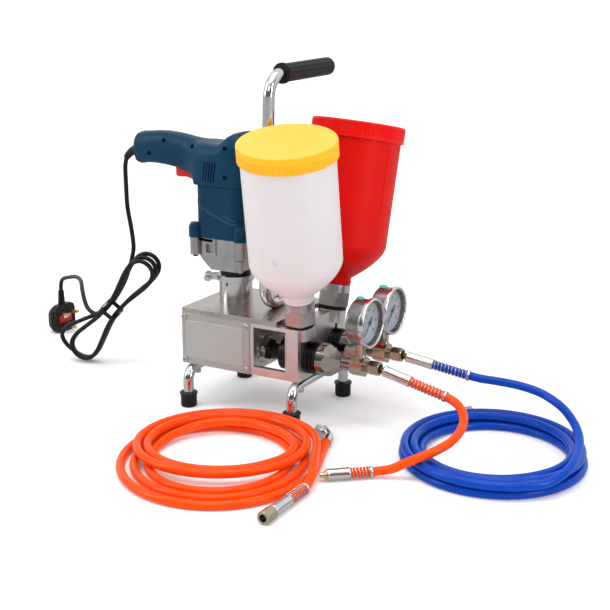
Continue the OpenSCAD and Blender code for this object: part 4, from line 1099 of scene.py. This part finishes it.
    def whip(self) -> None:
        """The orange whip from the front outlet."""
        out, end = self.whip_out, self.whip_end
        points = [out.at(s) for s in (44, 69, 94)]
        points += [(309, -36.5, 62), (322, -46.5, 57.3), (331.5, -62, 51.8), (336.5, -83, 46),
                   (335, -108, 40), (325.5, -130, 34.5), (310, -145.5, 27.8), (294, -152.5, 19.2),
                   (280, -157, 11.6)]
        points += [end.at(s) for s in (56, 42, 28)]
        thing, path = self.hose("orange_whip", points, 8, ORANGE_SKIN, "orange_hose")
        self.cord(thing, path, "hanging", [
            self.sleeves("whip_sleeves", self.outlet_sleeve(out),
                         end.along(self.ferrule(WHIP_GUARD.start, self.ferrule_r)),
                         out.along(self.band(), OUTLET_GUARD.band_x()),
                         end.along(self.band(), WHIP_GUARD.band_x())),
            self.stems("whip_stems", out.along(self.stem(self.stem_l), self.sleeve_x),
                       end.along(self.stem(8))),
            self.springs("whip_springs", self.spring(out, OUTLET_GUARD), self.spring(end, WHIP_GUARD)),
            self.nuts("whip_nut", self.outlet_nut(-1))])

    def orange(self) -> None:
        """The coiled orange hose on the floor."""
        ex, ey, ez = self.elbow.place
        points = [self.elbow.place, (ex + 5.5, ey - 16, ez - 1.9), (ex + 12, ey - 34, ez - 3.1)]
        points += self.orange_coil.points()
        points += [(186.5, -171.5, 17.3), (197.3, -193, 17.5), (203, -205, 17.4), (207.8, -217, 16),
                   (211.8, -229, 12.9), (214.6, -241, 9.8), (216, -252, 8.6), self.tail.place]
        thing, path = self.hose("orange_hose_coil", points, 4, ORANGE_SKIN, "orange_coil")
        back = HoseEnd(self.tail.place, 90)
        self.cord(thing, path, "coiled", [
            self.sleeves("orange_sleeve",
                         self.tail.along(self.ferrule(self.tail_sleeve_l, self.ferrule_r)),
                         back.along(self.band(), TAIL_GUARD.band_x())),
            self.springs("orange_spring", self.spring(back, TAIL_GUARD)),
            self.nuts("orange_nut", self.nut(self.tail, self.tail_sleeve_l, TAIL_NUT)), "hose_elbow"])

    def blue(self) -> None:
        """The blue hose, from the rear outlet into its coil."""
        out, end = self.blue_out, self.blue_end
        points = [out.at(s) for s in (44, 69, 94)]
        points += [(312, 41, 70.5), (335, 46, 69), (363, 50, 66.5), (391, 49.5, 61.5), (421, 36, 54),
                   (445, 13, 45.5), (460, -11, 38), (468, -35, 32.7), (472.6, -60, 29.4), (473, -82.5, 26.4),
                   (468.6, -102, 22.3), (460.4, -117, 18.7)]
        bx, by, bz = end.place
        points += self.blue_coil.points() + [(bx - 3.9, by - 10.4, bz - 1.9), end.place]
        thing, path = self.hose("blue_delivery_hose", points, 4, BLUE_SKIN, "blue_hose", "blue_coil")
        self.cord(thing, path, "coiled", [
            self.sleeves("blue_sleeves", self.outlet_sleeve(out),
                         end.along(self.ferrule(self.blue_sleeve_l, self.end_ferrule_r)),
                         out.along(self.band(), OUTLET_GUARD.band_x())),
            self.stems("blue_stem", out.along(self.stem(self.stem_l), self.sleeve_x)),
            self.springs("blue_spring", self.spring(out, OUTLET_GUARD)),
            self.nuts("blue_nuts", self.outlet_nut(1), self.nut(end, self.blue_sleeve_l, BLUE_NUT))])

    def build(self) -> None:
        """Makes the hoses with their fittings."""
        self.whip()
        self.orange()
        self.blue()


# ---- mains lead ----


@dataclass
class MainsLead:
    """The drill's lead, through its tied hank to the plug, and the plug's fuse cover.

    Sizes are in millimetres.
    """

    lead_r: float = 3.25
    low: Vector = field(default_factory=lambda: Vector((-332, 6, 6)))
    high: Vector = field(default_factory=lambda: Vector((-175, 0, 182)))
    half_l: float = 118.0
    step: float = 4.0
    half_w: float = 8.0
    swell_low: float = 40.0
    swell_high: float = 36.0
    stray: float = 20.0
    stray_turns: float = 0.3
    pitch: float = 7.1
    turns: int = 3
    rings: int = 24
    plug: Point = (-452, 117, 45)
    pin_face: float = -445.0
    fuse_size: Point = (1.6, 29, 12.5)
    fuse_z: float = 16.6
    mark_size: Point = (0.6, 9, 4.5)
    mark_z: float = 23.0

    def __post_init__(self) -> None:
        """The hank's own axes."""
        self.middle = (self.low + self.high) / 2
        self.run = (self.high - self.low).normalized()
        facing = Vector((0.35, -0.93, 0))
        self.side = (facing - self.run * facing.dot(self.run)).cross(self.run).normalized()
        self.up = self.run.cross(self.side)

    def spot(self, x: float, y: float, z: float) -> Vector:
        """A point in the hank's axes."""
        return self.middle + x * self.run + y * self.side + z * self.up

    def hank(self) -> list[Vector]:
        """The hank's centreline."""
        points = []
        for k in range(self.turns * self.rings + 1):
            t = k / self.rings
            a = math.radians(360 * t + 90)
            stray = 0
            if t < self.stray_turns:
                stray = self.stray * math.sin(math.pi * t / self.stray_turns) ** 2
            swell = self.swell_low if math.cos(a) < 0 else self.swell_high
            points.append(self.spot((self.half_l - self.step * t) * math.cos(a) - 0.4 * stray,
                                    math.sin(a) * (self.half_w + swell * math.cos(a) ** 2) + stray,
                                    (t - self.turns / 2) * self.pitch))
        return points

    def fuse(self) -> list[bpy.types.Object]:
        """The fuse cover on the plug's pin face, with its pale middle."""
        y = self.plug[1]
        red = Blank.box(self.fuse_size).place(shift(self.pin_face, y, self.fuse_z)).rounded(0.5, 2)
        pale = Blank.box(self.mark_size).place(shift(self.pin_face + 0.9, y, self.mark_z)).rounded(0.25, 1)
        return [red.piece("fuse_cover", FUSE_RED, "machine", slot="red_plastic"),
                pale.piece("fuse_mark", FUSE_WHITE, "machine", slot="white_plastic")]

    def build(self) -> None:
        """Makes the lead."""
        lead = [(-216, 0, 321), (-219, 0, 308), (-219, 0, 285), (-218, 0, 250), (-216, 4, 220),
                (-216, 8, 192)]
        lead += [self.spot(*p) for p in ((84, 25, -13), (62, 18, -14.6), (42, 12.6, -14.6), (24, 9.5, -13),
                                         (10, 8.1, -11.4))]
        lead += self.hank()
        lead += [self.spot(*p) for p in ((-10, 9, 11.5), (-19.5, 13.2, 10.6), (-26, 21, 7), (-29, 31.5, 1.5))]
        px, py, pz = self.plug
        lead += [(-310, 5, 101), (-327, 22, 108.5), (-352, 49, 113), (-385, 77, 108.5), (-417, 97, 99),
                 (-435, 107, 92.7), (-445.3, 113, 86.6), (-450.4, 116, 78), (px, py, pz + 23),
                 (px, py, pz + 18)]
        path = spline(route(lead), 5)
        cord = tube("mains_lead", path, self.lead_r * MM, 16)
        settle(cord, CORD_BLACK, "machine", "mains_cord", "cord_hank")
        length_of(path)
        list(self.fuse())


# ---- stand and handle ----


def quarter(centre: tuple[float, float], radius: float, start: float) -> list[tuple[float, float]]:
    """A quarter bend, clockwise from an angle in degrees."""
    steps = 12
    turns = [math.radians(start - 90 / steps * k) for k in range(steps + 1)]
    return [(centre[0] + radius * math.cos(a), centre[1] + radius * math.sin(a)) for a in turns]


@dataclass
class Stand:
    """The bent tubes under the machine and its carrying handle. Sizes are in millimetres."""

    leg_places: tuple[float, float] = (-69.5, 94)
    leg_r: float = 7.0
    leg_top: float = 53.0
    leg_bend: float = 18.0
    foot_y: float = 71.0
    foot_z: float = 4.0
    handle_r: float = 7.75
    handle_bend: float = 28.0
    handle_foot: Point = (29, -3, 144.85)
    handle_tail: float = 45.0
    handle_rise: float = 305.15
    handle_reach: float = 118.0
    handle_lean: float = 1.9

    def leg(self, x: float) -> list[Point]:
        """The centreline of one leg tube, from foot to foot."""
        y, z = self.foot_y - self.leg_bend, self.leg_top - self.leg_bend
        return [(x, -self.foot_y, self.foot_z)] + [(x, *p) for p in quarter((-y, z), self.leg_bend, 180)] + [
            (x, *p) for p in quarter((y, z), self.leg_bend, 90)] + [(x, self.foot_y, self.foot_z)]

    def handle(self) -> list[Point]:
        """The handle's centreline, from its flat foot up into the grip."""
        x, y, z = self.handle_foot
        r, rise = self.handle_bend, self.handle_rise
        line = [(self.handle_tail, 0), *quarter((y, r), r, -90), *quarter((y, rise - r), r, 180),
                (self.handle_reach, rise)]
        leaning = shift(x, 0, z) @ turn(self.handle_lean, "Y")
        return [tuple(leaning @ Vector((0, py * MM, pz * MM)) / MM) for py, pz in line]

    def build(self) -> None:
        """Makes the tubes."""
        for number, x in enumerate(self.leg_places, 1):
            leg = tube(f"leg_tube_{number}", route(self.leg(x)), self.leg_r * MM, 40)
            settle(leg, CHROME, "machine", "leg_tubes")
        handle = tube("handle_tube_bent", route(self.handle()), self.handle_r * MM, 40)
        settle(handle, CHROME, "machine", "handle_tube")


# ---- hoppers ----


@dataclass
class Hopper:
    """One hopper and its lid on their leaning axis. Sizes are in millimetres, heights along that axis."""

    name: str
    side: int
    shell_finish: Finish
    lid_finish: Finish
    ribs: tuple[float, float]
    foot: Point = (89.5, 33, 87)
    tilt: float = 12.0
    lean: float = 2.5
    thread_r: float = 17.3
    neck_r: float = 19.5
    body_r: float = 60.0
    rim_r: float = 59.5
    wall: float = 3.0
    seat: float = 52.0
    neck_low: float = 82.5
    neck_top: float = 92.0
    shoulder_top: float = 139.0
    rim: float = 296.7
    lid_r: float = 63.0
    lid_low: float = 278.0
    lid_top: float = 300.0
    rib_count: int = 120
    rib_depth: float = 0.9

    def matrix(self) -> Matrix:
        """From the hopper's own axis to the frame."""
        x, y, z = self.foot
        return shift(x, self.side * y, z) @ turn(self.lean, "Y") @ turn(-self.side * self.tilt, "X")

    def shoulder(self, inset: float, lift: float) -> list[tuple[float, float]]:
        """The rounded part from the neck to the wall, inset by the wall's thickness."""
        steps = 28
        points = []
        for k in range(steps + 1):
            u = k / steps
            r = self.neck_r + (self.body_r - self.neck_r) * (1 - (1 - u) ** 1.6)
            points.append((r - inset, self.neck_top + (self.shoulder_top - self.neck_top) * u + lift))
        return points

    def shell(self) -> None:
        """The thin shell with its threaded neck and the ring over the nut."""
        ring = self.neck_r + 0.9
        low = self.neck_low
        outside = [(self.thread_r, self.seat), (self.thread_r, low), (self.neck_r, low + 0.2),
                   (self.neck_r, low + 2.2), (ring, low + 2.8), (ring, low + 4.4), (self.neck_r, low + 5)]
        outside += self.shoulder(0, 0) + [(self.rim_r, self.rim - 0.6), (self.rim_r - 0.6, self.rim)]
        inside = [(self.rim_r - self.wall, self.rim)] + self.shoulder(self.wall + 0.6, 1.4)[::-1]
        inside += [(self.thread_r - self.wall, low), (self.thread_r - self.wall, self.seat)]
        shell = Blank.lathe([*outside, *inside, outside[0]], 128).place(self.matrix())
        node = "hopper_" + self.name
        shell.piece(node + "_shell", self.shell_finish, NODE_BODY[node], node, sharp=50)

    def lid(self) -> None:
        """The lid: a skirt with fine upright ribs, a soft edge and a sunk middle."""
        r, top = self.lid_r, self.lid_top
        low, high = self.ribs
        under = [(0, self.rim + 0.3), (r - 2.6, self.rim + 0.3), (r - 2.6, self.lid_low),
                 (r - 0.6, self.lid_low), (r, self.lid_low + 0.5), (r, low - 0.9), (r - 0.4, low - 0.7),
                 (r - 0.4, low - 0.3), (r, low)]
        over = [(r, low + 0.7), (r, high - 0.7), (r, high), (r, top - 2.6), (r - 0.35, top - 1.3),
                (r - 1.2, top - 0.4), (r - 2.6, top), (r - 21.6, top), (r - 22.1, top - 0.15),
                (r - 22.6, top - 0.6), (0, top - 0.6)]
        blank = Blank.lathe(under + over, 3 * self.rib_count)
        pressed = (r - self.rib_depth) / r
        for vert in blank.bm.verts:
            x, y, z = vert.co / MM
            place = round(math.atan2(y, x) / TAU * 3 * self.rib_count)
            if low + 0.1 < z < high - 0.1 and math.hypot(x, y) > r - 0.1 and place % 3 == 0:
                vert.co.x, vert.co.y = vert.co.x * pressed, vert.co.y * pressed
        node = "lid_" + self.name
        blank.place(self.matrix()).piece(node + "_ribbed", self.lid_finish, NODE_BODY[node], node, sharp=35)

    def level_marks(self, start: float, sweep: float, levels: Sequence[float]) -> None:
        """Faint raised marks on the wall: an upright line, and a tick and a figure at each level."""
        r, wide, proud = self.body_r - 0.35, 0.55, 0.5
        upright = Blank.box((proud * 2, wide, levels[-1] - levels[0]))
        parts = [upright.place(turn(start, "Z") @ shift(r, 0, levels[0]))]
        for number, level in enumerate(levels, 1):
            section = [(r - proud, level), (r + proud, level), (r + proud, level + wide),
                       (r - proud, level + wide)]
            parts.append(Blank.arc(section, start, sweep, 10))
            figure = Blank.figures(str(number), 5, 0.5)
            stand = turn(start + sweep + 3, "Z") @ shift(r, 0, level + 3) @ turn(90, "Z") @ turn(90, "X")
            parts.append(figure.place(stand))
        Blank.joined(parts).place(self.matrix()).piece(
            "level_marks_" + self.name, self.shell_finish, NODE_BODY["hopper_" + self.name],
            slot=NODE_SLOT["hopper_" + self.name])

    def build(self) -> None:
        """Makes the shell and the lid."""
        self.shell()
        self.lid()


# ---- gauges ----


@dataclass
class Gauge:
    """A liquid-filled pressure gauge facing +X. Sizes are in millimetres, stations along +X."""

    name: str
    side: int
    middle: Point = (0, 33, 146)
    back: float = 166.0
    case_r: float = 30.0
    bezel: float = 185.5
    bezel_r: float = 32.5
    front: float = 193.0
    dial: float = 186.0
    face_r: float = 28.5
    print_depth: float = 0.12
    first_angle: float = 225.0
    span: float = 270.0
    marks: int = 30

    def turned(self, profile: Sequence[tuple[float, float]], steps: int = 96) -> Blank:
        """A part turned about the gauge's axis."""
        x, y, z = self.middle
        return Blank.lathe(profile, steps).place(shift(x, self.side * y, z) @ turn(90, "Y"))

    def case(self) -> None:
        """The deep case, its rolled bezel and the gasket under the window."""
        r, b, f = self.case_r, self.bezel, self.back
        case = self.turned([(0, f), (r - 5, f), (r - 2.2, f + 0.7), (r - 0.6, f + 2.2), (r, f + 4.4), (r, b),
                            (r - 1.5, b), (r - 1.5, f + 2), (0, f + 2)])
        case.piece("gauge_case_" + self.name, GAUGE_STEEL, "machine", "gauge_cases", sharp=50)
        w, e, g, d = self.bezel_r, self.front, self.face_r, self.dial
        bezel = self.turned([(r - 0.4, b - 0.4), (r + 0.5, b - 0.4), (r + 0.9, b + 0.6), (w - 0.5, b + 0.9),
                             (w, b + 1.6), (w, e - 2.6), (w - 0.25, e - 1.4), (w - 0.9, e - 0.5),
                             (w - 1.8, e), (w - 2.8, e - 0.2), (w - 3.6, e - 0.9),
                             (g + 0.1, e - 1.6), (g + 0.1, b + 0.6),
                             (r - 0.4, b - 0.4)])
        bezel.piece("gauge_bezel_" + self.name, CHROME, "machine", "gauge_cases", sharp=60)
        gasket = self.turned([(g, d + 0.1), (g, d + 4.4), (g - 0.6, d + 4.6), (g - 2.2, d + 1.2),
                              (g - 2.2, d + 0.1), (g, d + 0.1)])
        gasket.piece("gauge_gasket_" + self.name, BLACK_RUBBER, "machine", slot="black_rubber")

    def on_dial(self, blank: Blank) -> Blank:
        """Lays a print on the dial: X to the reader's right, Y up."""
        x, y, z = self.middle
        return blank.place(shift(self.dial, self.side * y, z) @ turn(90, "Z") @ turn(90, "X"))

    def tick(self, place: float, inner: float, outer: float, width: float) -> Blank:
        """One mark of the scale, at 0 to 1 of its span."""
        box = Blank.box((outer - inner, width, self.print_depth)).place(shift((inner + outer) / 2, 0, 0))
        return box.place(turn(self.first_angle - self.span * place, "Z"))

    def figure(self, text: str, place: float, radius: float, height: float) -> Blank:
        """One upright figure of the scale."""
        a = math.radians(self.first_angle - self.span * place)
        blank = Blank.figures(text, height, self.print_depth)
        return blank.place(shift(radius * math.cos(a), radius * math.sin(a), 0))

    def scale(self) -> None:
        """The printed scales: black ticks and tens, a blue inner scale and a red end zone."""
        d = self.print_depth
        black = [self.tick(k / self.marks, 21.4 if k % 5 else 20.0, 24.6, 0.5 if k % 5 else 1.0)
                 for k in range(self.marks + 1)]
        black += [self.figure(str(10 * k), k / 6, 16.6, 5.0) for k in range(7)]
        blue = [self.tick(k / 12, 11.2, 13.0, 0.5) for k in range(13)]
        blue += [self.figure(str(k), k / 6, 8.4, 3.2) for k in range(0, 7, 2)]
        red = [Blank.arc([(19.3, 0), (19.9, 0), (19.9, d), (19.3, d)], -45, 90, 24)]
        prints = (("black", black, DIAL_INK, "needle_black"), ("blue", blue, DIAL_BLUE, "blue_plastic"),
                  ("red", red, DIAL_RED, "red_plastic"))
        for tone, parts, finish, slot in prints:
            self.on_dial(Blank.joined(parts)).piece(f"dial_{tone}_{self.name}", finish, "machine", slot=slot)

    def build(self) -> None:
        """Makes the case and its prints."""
        self.case()
        self.scale()


# ---- trim on the drill and the cover ----


@dataclass
class Trim:
    """Raised lines, black inserts of painted shade and plates that sit on larger parts. Sizes are in
    millimetres.
    """

    motor_x: float = -43.0
    motor_half: float = 35.5
    motor_corner: float = 14.0
    line_r: float = 0.8
    line_sunk: float = 0.35
    vent_count: int = 5
    vent_pitch: float = 4.2
    vent_size: Point = (1.9, 7.8, 26.5)
    vent_place: Point = (-64, 31.3, 306)
    vent_lean: float = 8.0
    slot_size: Point = (21.6, 3.4, 3.8)
    slot_place: Point = (-61, 31.9, 224.1)
    cover_y: float = -67.5
    label_size: Point = (91, 0.5, 52.5)
    label_x: float = -28.5
    label_z: float = 69.0
    label_corner: float = 3.5

    def skin(self, x: float) -> float:
        """How far the motor case's side stands from its middle plane at a place along X."""
        flat = self.motor_half - self.motor_corner
        over = min(max(abs(x - self.motor_x) - flat, 0), self.motor_corner)
        return flat + math.sqrt(self.motor_corner ** 2 - over ** 2)

    def raised_line(self, side: int, number: int, places: Sequence[tuple[float, float]]) -> None:
        """One half-sunk bead across a side of the motor case, through places along X and Z, in a lighter blue
        than the case: a painted highlight.
        """
        path = spline(route((x, side * (self.skin(x) - self.line_sunk), z) for x, z in places), 8)
        last = len(path) - 1
        radii = [self.line_r * MM * min(1.0, 0.15 + 0.3 * min(k, last - k)) for k in range(last + 1)]
        thing = tube(f"motor_line_{number}_{'front' if side < 0 else 'rear'}", path, radii, 8)
        settle(thing, BEAD_BLUE_HIGHLIT, NODE_BODY["motor_case"], slot=NODE_SLOT["motor_case"])

    def motor_lines(self) -> None:
        """The sweeping double bead and its short companion, on both sides."""
        upper = [(-77.9, 281), (-74, 277.6), (-69, 274), (-61, 269.4), (-53, 265.3), (-42, 260.6),
                 (-30, 256.2), (-20, 252.9), (-13, 251.2), (-9, 250.4)]
        lower = [(x, z - 4.6 + 3.6 * k / 9) for k, (x, z) in enumerate(upper)]
        short = [(-33, 262.5), (-26, 259.6), (-18, 256.6), (-12, 255)]
        for side in (-1, 1):
            for number, places in enumerate((upper, lower, short), 1):
                self.raised_line(side, number, places)

    def vents(self) -> None:
        """Black strips in the vents and in the gear case's slot: painted shade of the housing's dark hollow
        inside.
        """
        parts = []
        x, y, z = self.vent_place
        slot_x, slot_y, slot_z = self.slot_place
        for side in (-1, 1):
            for k in range(self.vent_count):
                strip = Blank.box(self.vent_size).place(shift(0.85, 0, 0.25))
                leaning = shift(x + self.vent_pitch * k, side * y, z) @ turn(self.vent_lean, "Y")
                parts.append(strip.place(leaning))
            parts.append(Blank.box(self.slot_size).place(shift(slot_x, side * slot_y, slot_z)))
        Blank.joined(parts).piece("vent_inserts", VENT_SHADE, NODE_BODY["motor_case"], slot="black_plastic")

    def cover_label(self) -> None:
        """The bare plate on the gearbox cover, with rounded corners."""
        place = shift(self.label_x, self.cover_y - self.label_size[1] / 2, self.label_z)
        blank = Blank.box(self.label_size).place(place)
        corners = [e for e in blank.bm.edges if abs((e.verts[0].co - e.verts[1].co).y) > 0.4 * MM]
        bmesh.ops.bevel(blank.bm, geom=corners, offset=self.label_corner * MM, offset_type="OFFSET",
                        segments=6, affect="EDGES", profile=0.5, clamp_overlap=True, material=-1)
        blank.rounded(0.12, 1, 60).piece("cover_label", LABEL_ALU, "machine", slot="plate_alu", sharp=30)

    def build(self) -> None:
        """Makes all the trim."""
        self.motor_lines()
        self.vents()
        self.cover_label()


# ---- CAD nodes with better edges and finishes ----

# each node's finish, and the width of its rounded edges in millimetres
FINISHES: dict[str, tuple[Finish, float]] = {
    "gear_housing": (BODY_ALU, 0.5), "side_plates": (PLATE_ALU, 0.4), "top_plate": (TOP_ALU_SHADED, 0.5),
    "gearbox_cover": (COVER_ALU, 0.3), "cover_screws": (ZINC, 0.15), "pump_block": (BLOCK_ALU, 0.5),
    "barrels": (BLACK_STEEL, 0.4), "outlet_cones": (CONE_CHROME, 0.5), "outlet_tees": (NICKEL, 0.4),
    "gauge_plugs": (TEAL_RUBBER, 0.2), "bearings": (STEEL, 0.3), "drill_collar": (TURNED_ALU, 0.4),
    "collar_clamp": (ZINC, 0.4), "gear_case": (CAST_ALU, 0.6), "drill_screws": (SCREW_AND_HOLE_SHADE, 0.15),
    "spindle_neck": (BLACK_STEEL, 0.5), "motor_case": (BLUE_CASE, 0.8),
    "handle_shell_front": (BLUE_CASE, 0.4), "handle_shell_rear": (BLUE_CASE, 0.4),
    "hopper_seals": (BLACK_RUBBER, 0.4), "handle_grip": (BLACK_RUBBER, 0.3),
    "rubber_feet": (BLACK_RUBBER, 0.4), "frame_bolts": (STEEL, 0.3), "clamp_bolt": (ZINC, 0.3),
    "trigger": (RED_TRIGGER, 0.6), "lock_button": (BLACK_PLASTIC, 0.5), "drive_shaft": (STEEL, 0.4),
    "eccentric_bearing": (STEEL, 0.3), "crosshead": (STEEL, 0.5), "plungers": (CHROME, 0.0),
    "star_knob_front": (BLACK_PLASTIC, 0.5), "star_knob_rear": (BLACK_PLASTIC, 0.5),
    "needle_front": (NEEDLE_BLACK, 0.1), "needle_rear": (NEEDLE_BLACK, 0.1),
    "hopper_nut_front": (NUT_STEEL, 0.4), "hopper_nut_rear": (NUT_STEEL, 0.4),
    "cord_relief": (CORD_BLACK, 0.0), "cord_tie": (BLACK_PLASTIC, 0.4), "plug_body": (BLACK_PLASTIC, 0.8),
    "plug_pins": (BRASS, 0.4), "hose_elbow": (FERRULE_CHROME, 0.3), "gauge_dials": (DIAL_WHITE, 0.0),
}
# nodes that stay in the scene and are only dressed
KEPT = {"cord_tie", "plug_body", "plug_pins", "hose_elbow"}
# shifts in millimetres along X; the plungers' collars clear the barrels at full stroke
SET_BACK = {"plungers": -0.05}


def dress_node(node: str, finish: Finish) -> None:
    """Gives a CAD node that stays a finish."""
    mesh = frame["nodes"][node].data
    mesh.materials.clear()
    mesh.materials.append(finish.material())
    LOG.info("node %s dressed", node)


def round_node(node: str, finish: Finish, width: float) -> None:
    """Stands a copy with rounded edges in for a CAD node."""
    blank = Blank.of_node(node, width > 0).rounded(width).place(shift(SET_BACK.get(node, 0), 0, 0))
    blank.piece(node + "_rounded", finish, NODE_BODY[node], node)


def main() -> None:
    """Builds everything in order."""
    logging.basicConfig(level=logging.INFO, format="%(message)s")
    Studio().build()
    Hoses().build()
    MainsLead().build()
    Stand().build()
    Hopper("front", -1, WHITE_HOPPER, YELLOW_LID, (279.6, 291)).build()
    rear = Hopper("rear", 1, RED_HOPPER, RED_LID, (284.2, 296.6))
    rear.build()
    rear.level_marks(-16, 17.5, (142, 184, 226, 268))
    Gauge("front", -1).build()
    Gauge("rear", 1).build()
    Trim().build()
    for node, (finish, width) in FINISHES.items():
        if node in KEPT:
            dress_node(node, finish)
        else:
            round_node(node, finish, width)
    dress_node("gauge_glasses", WINDOW)


if __name__ == "__main__":
    main()
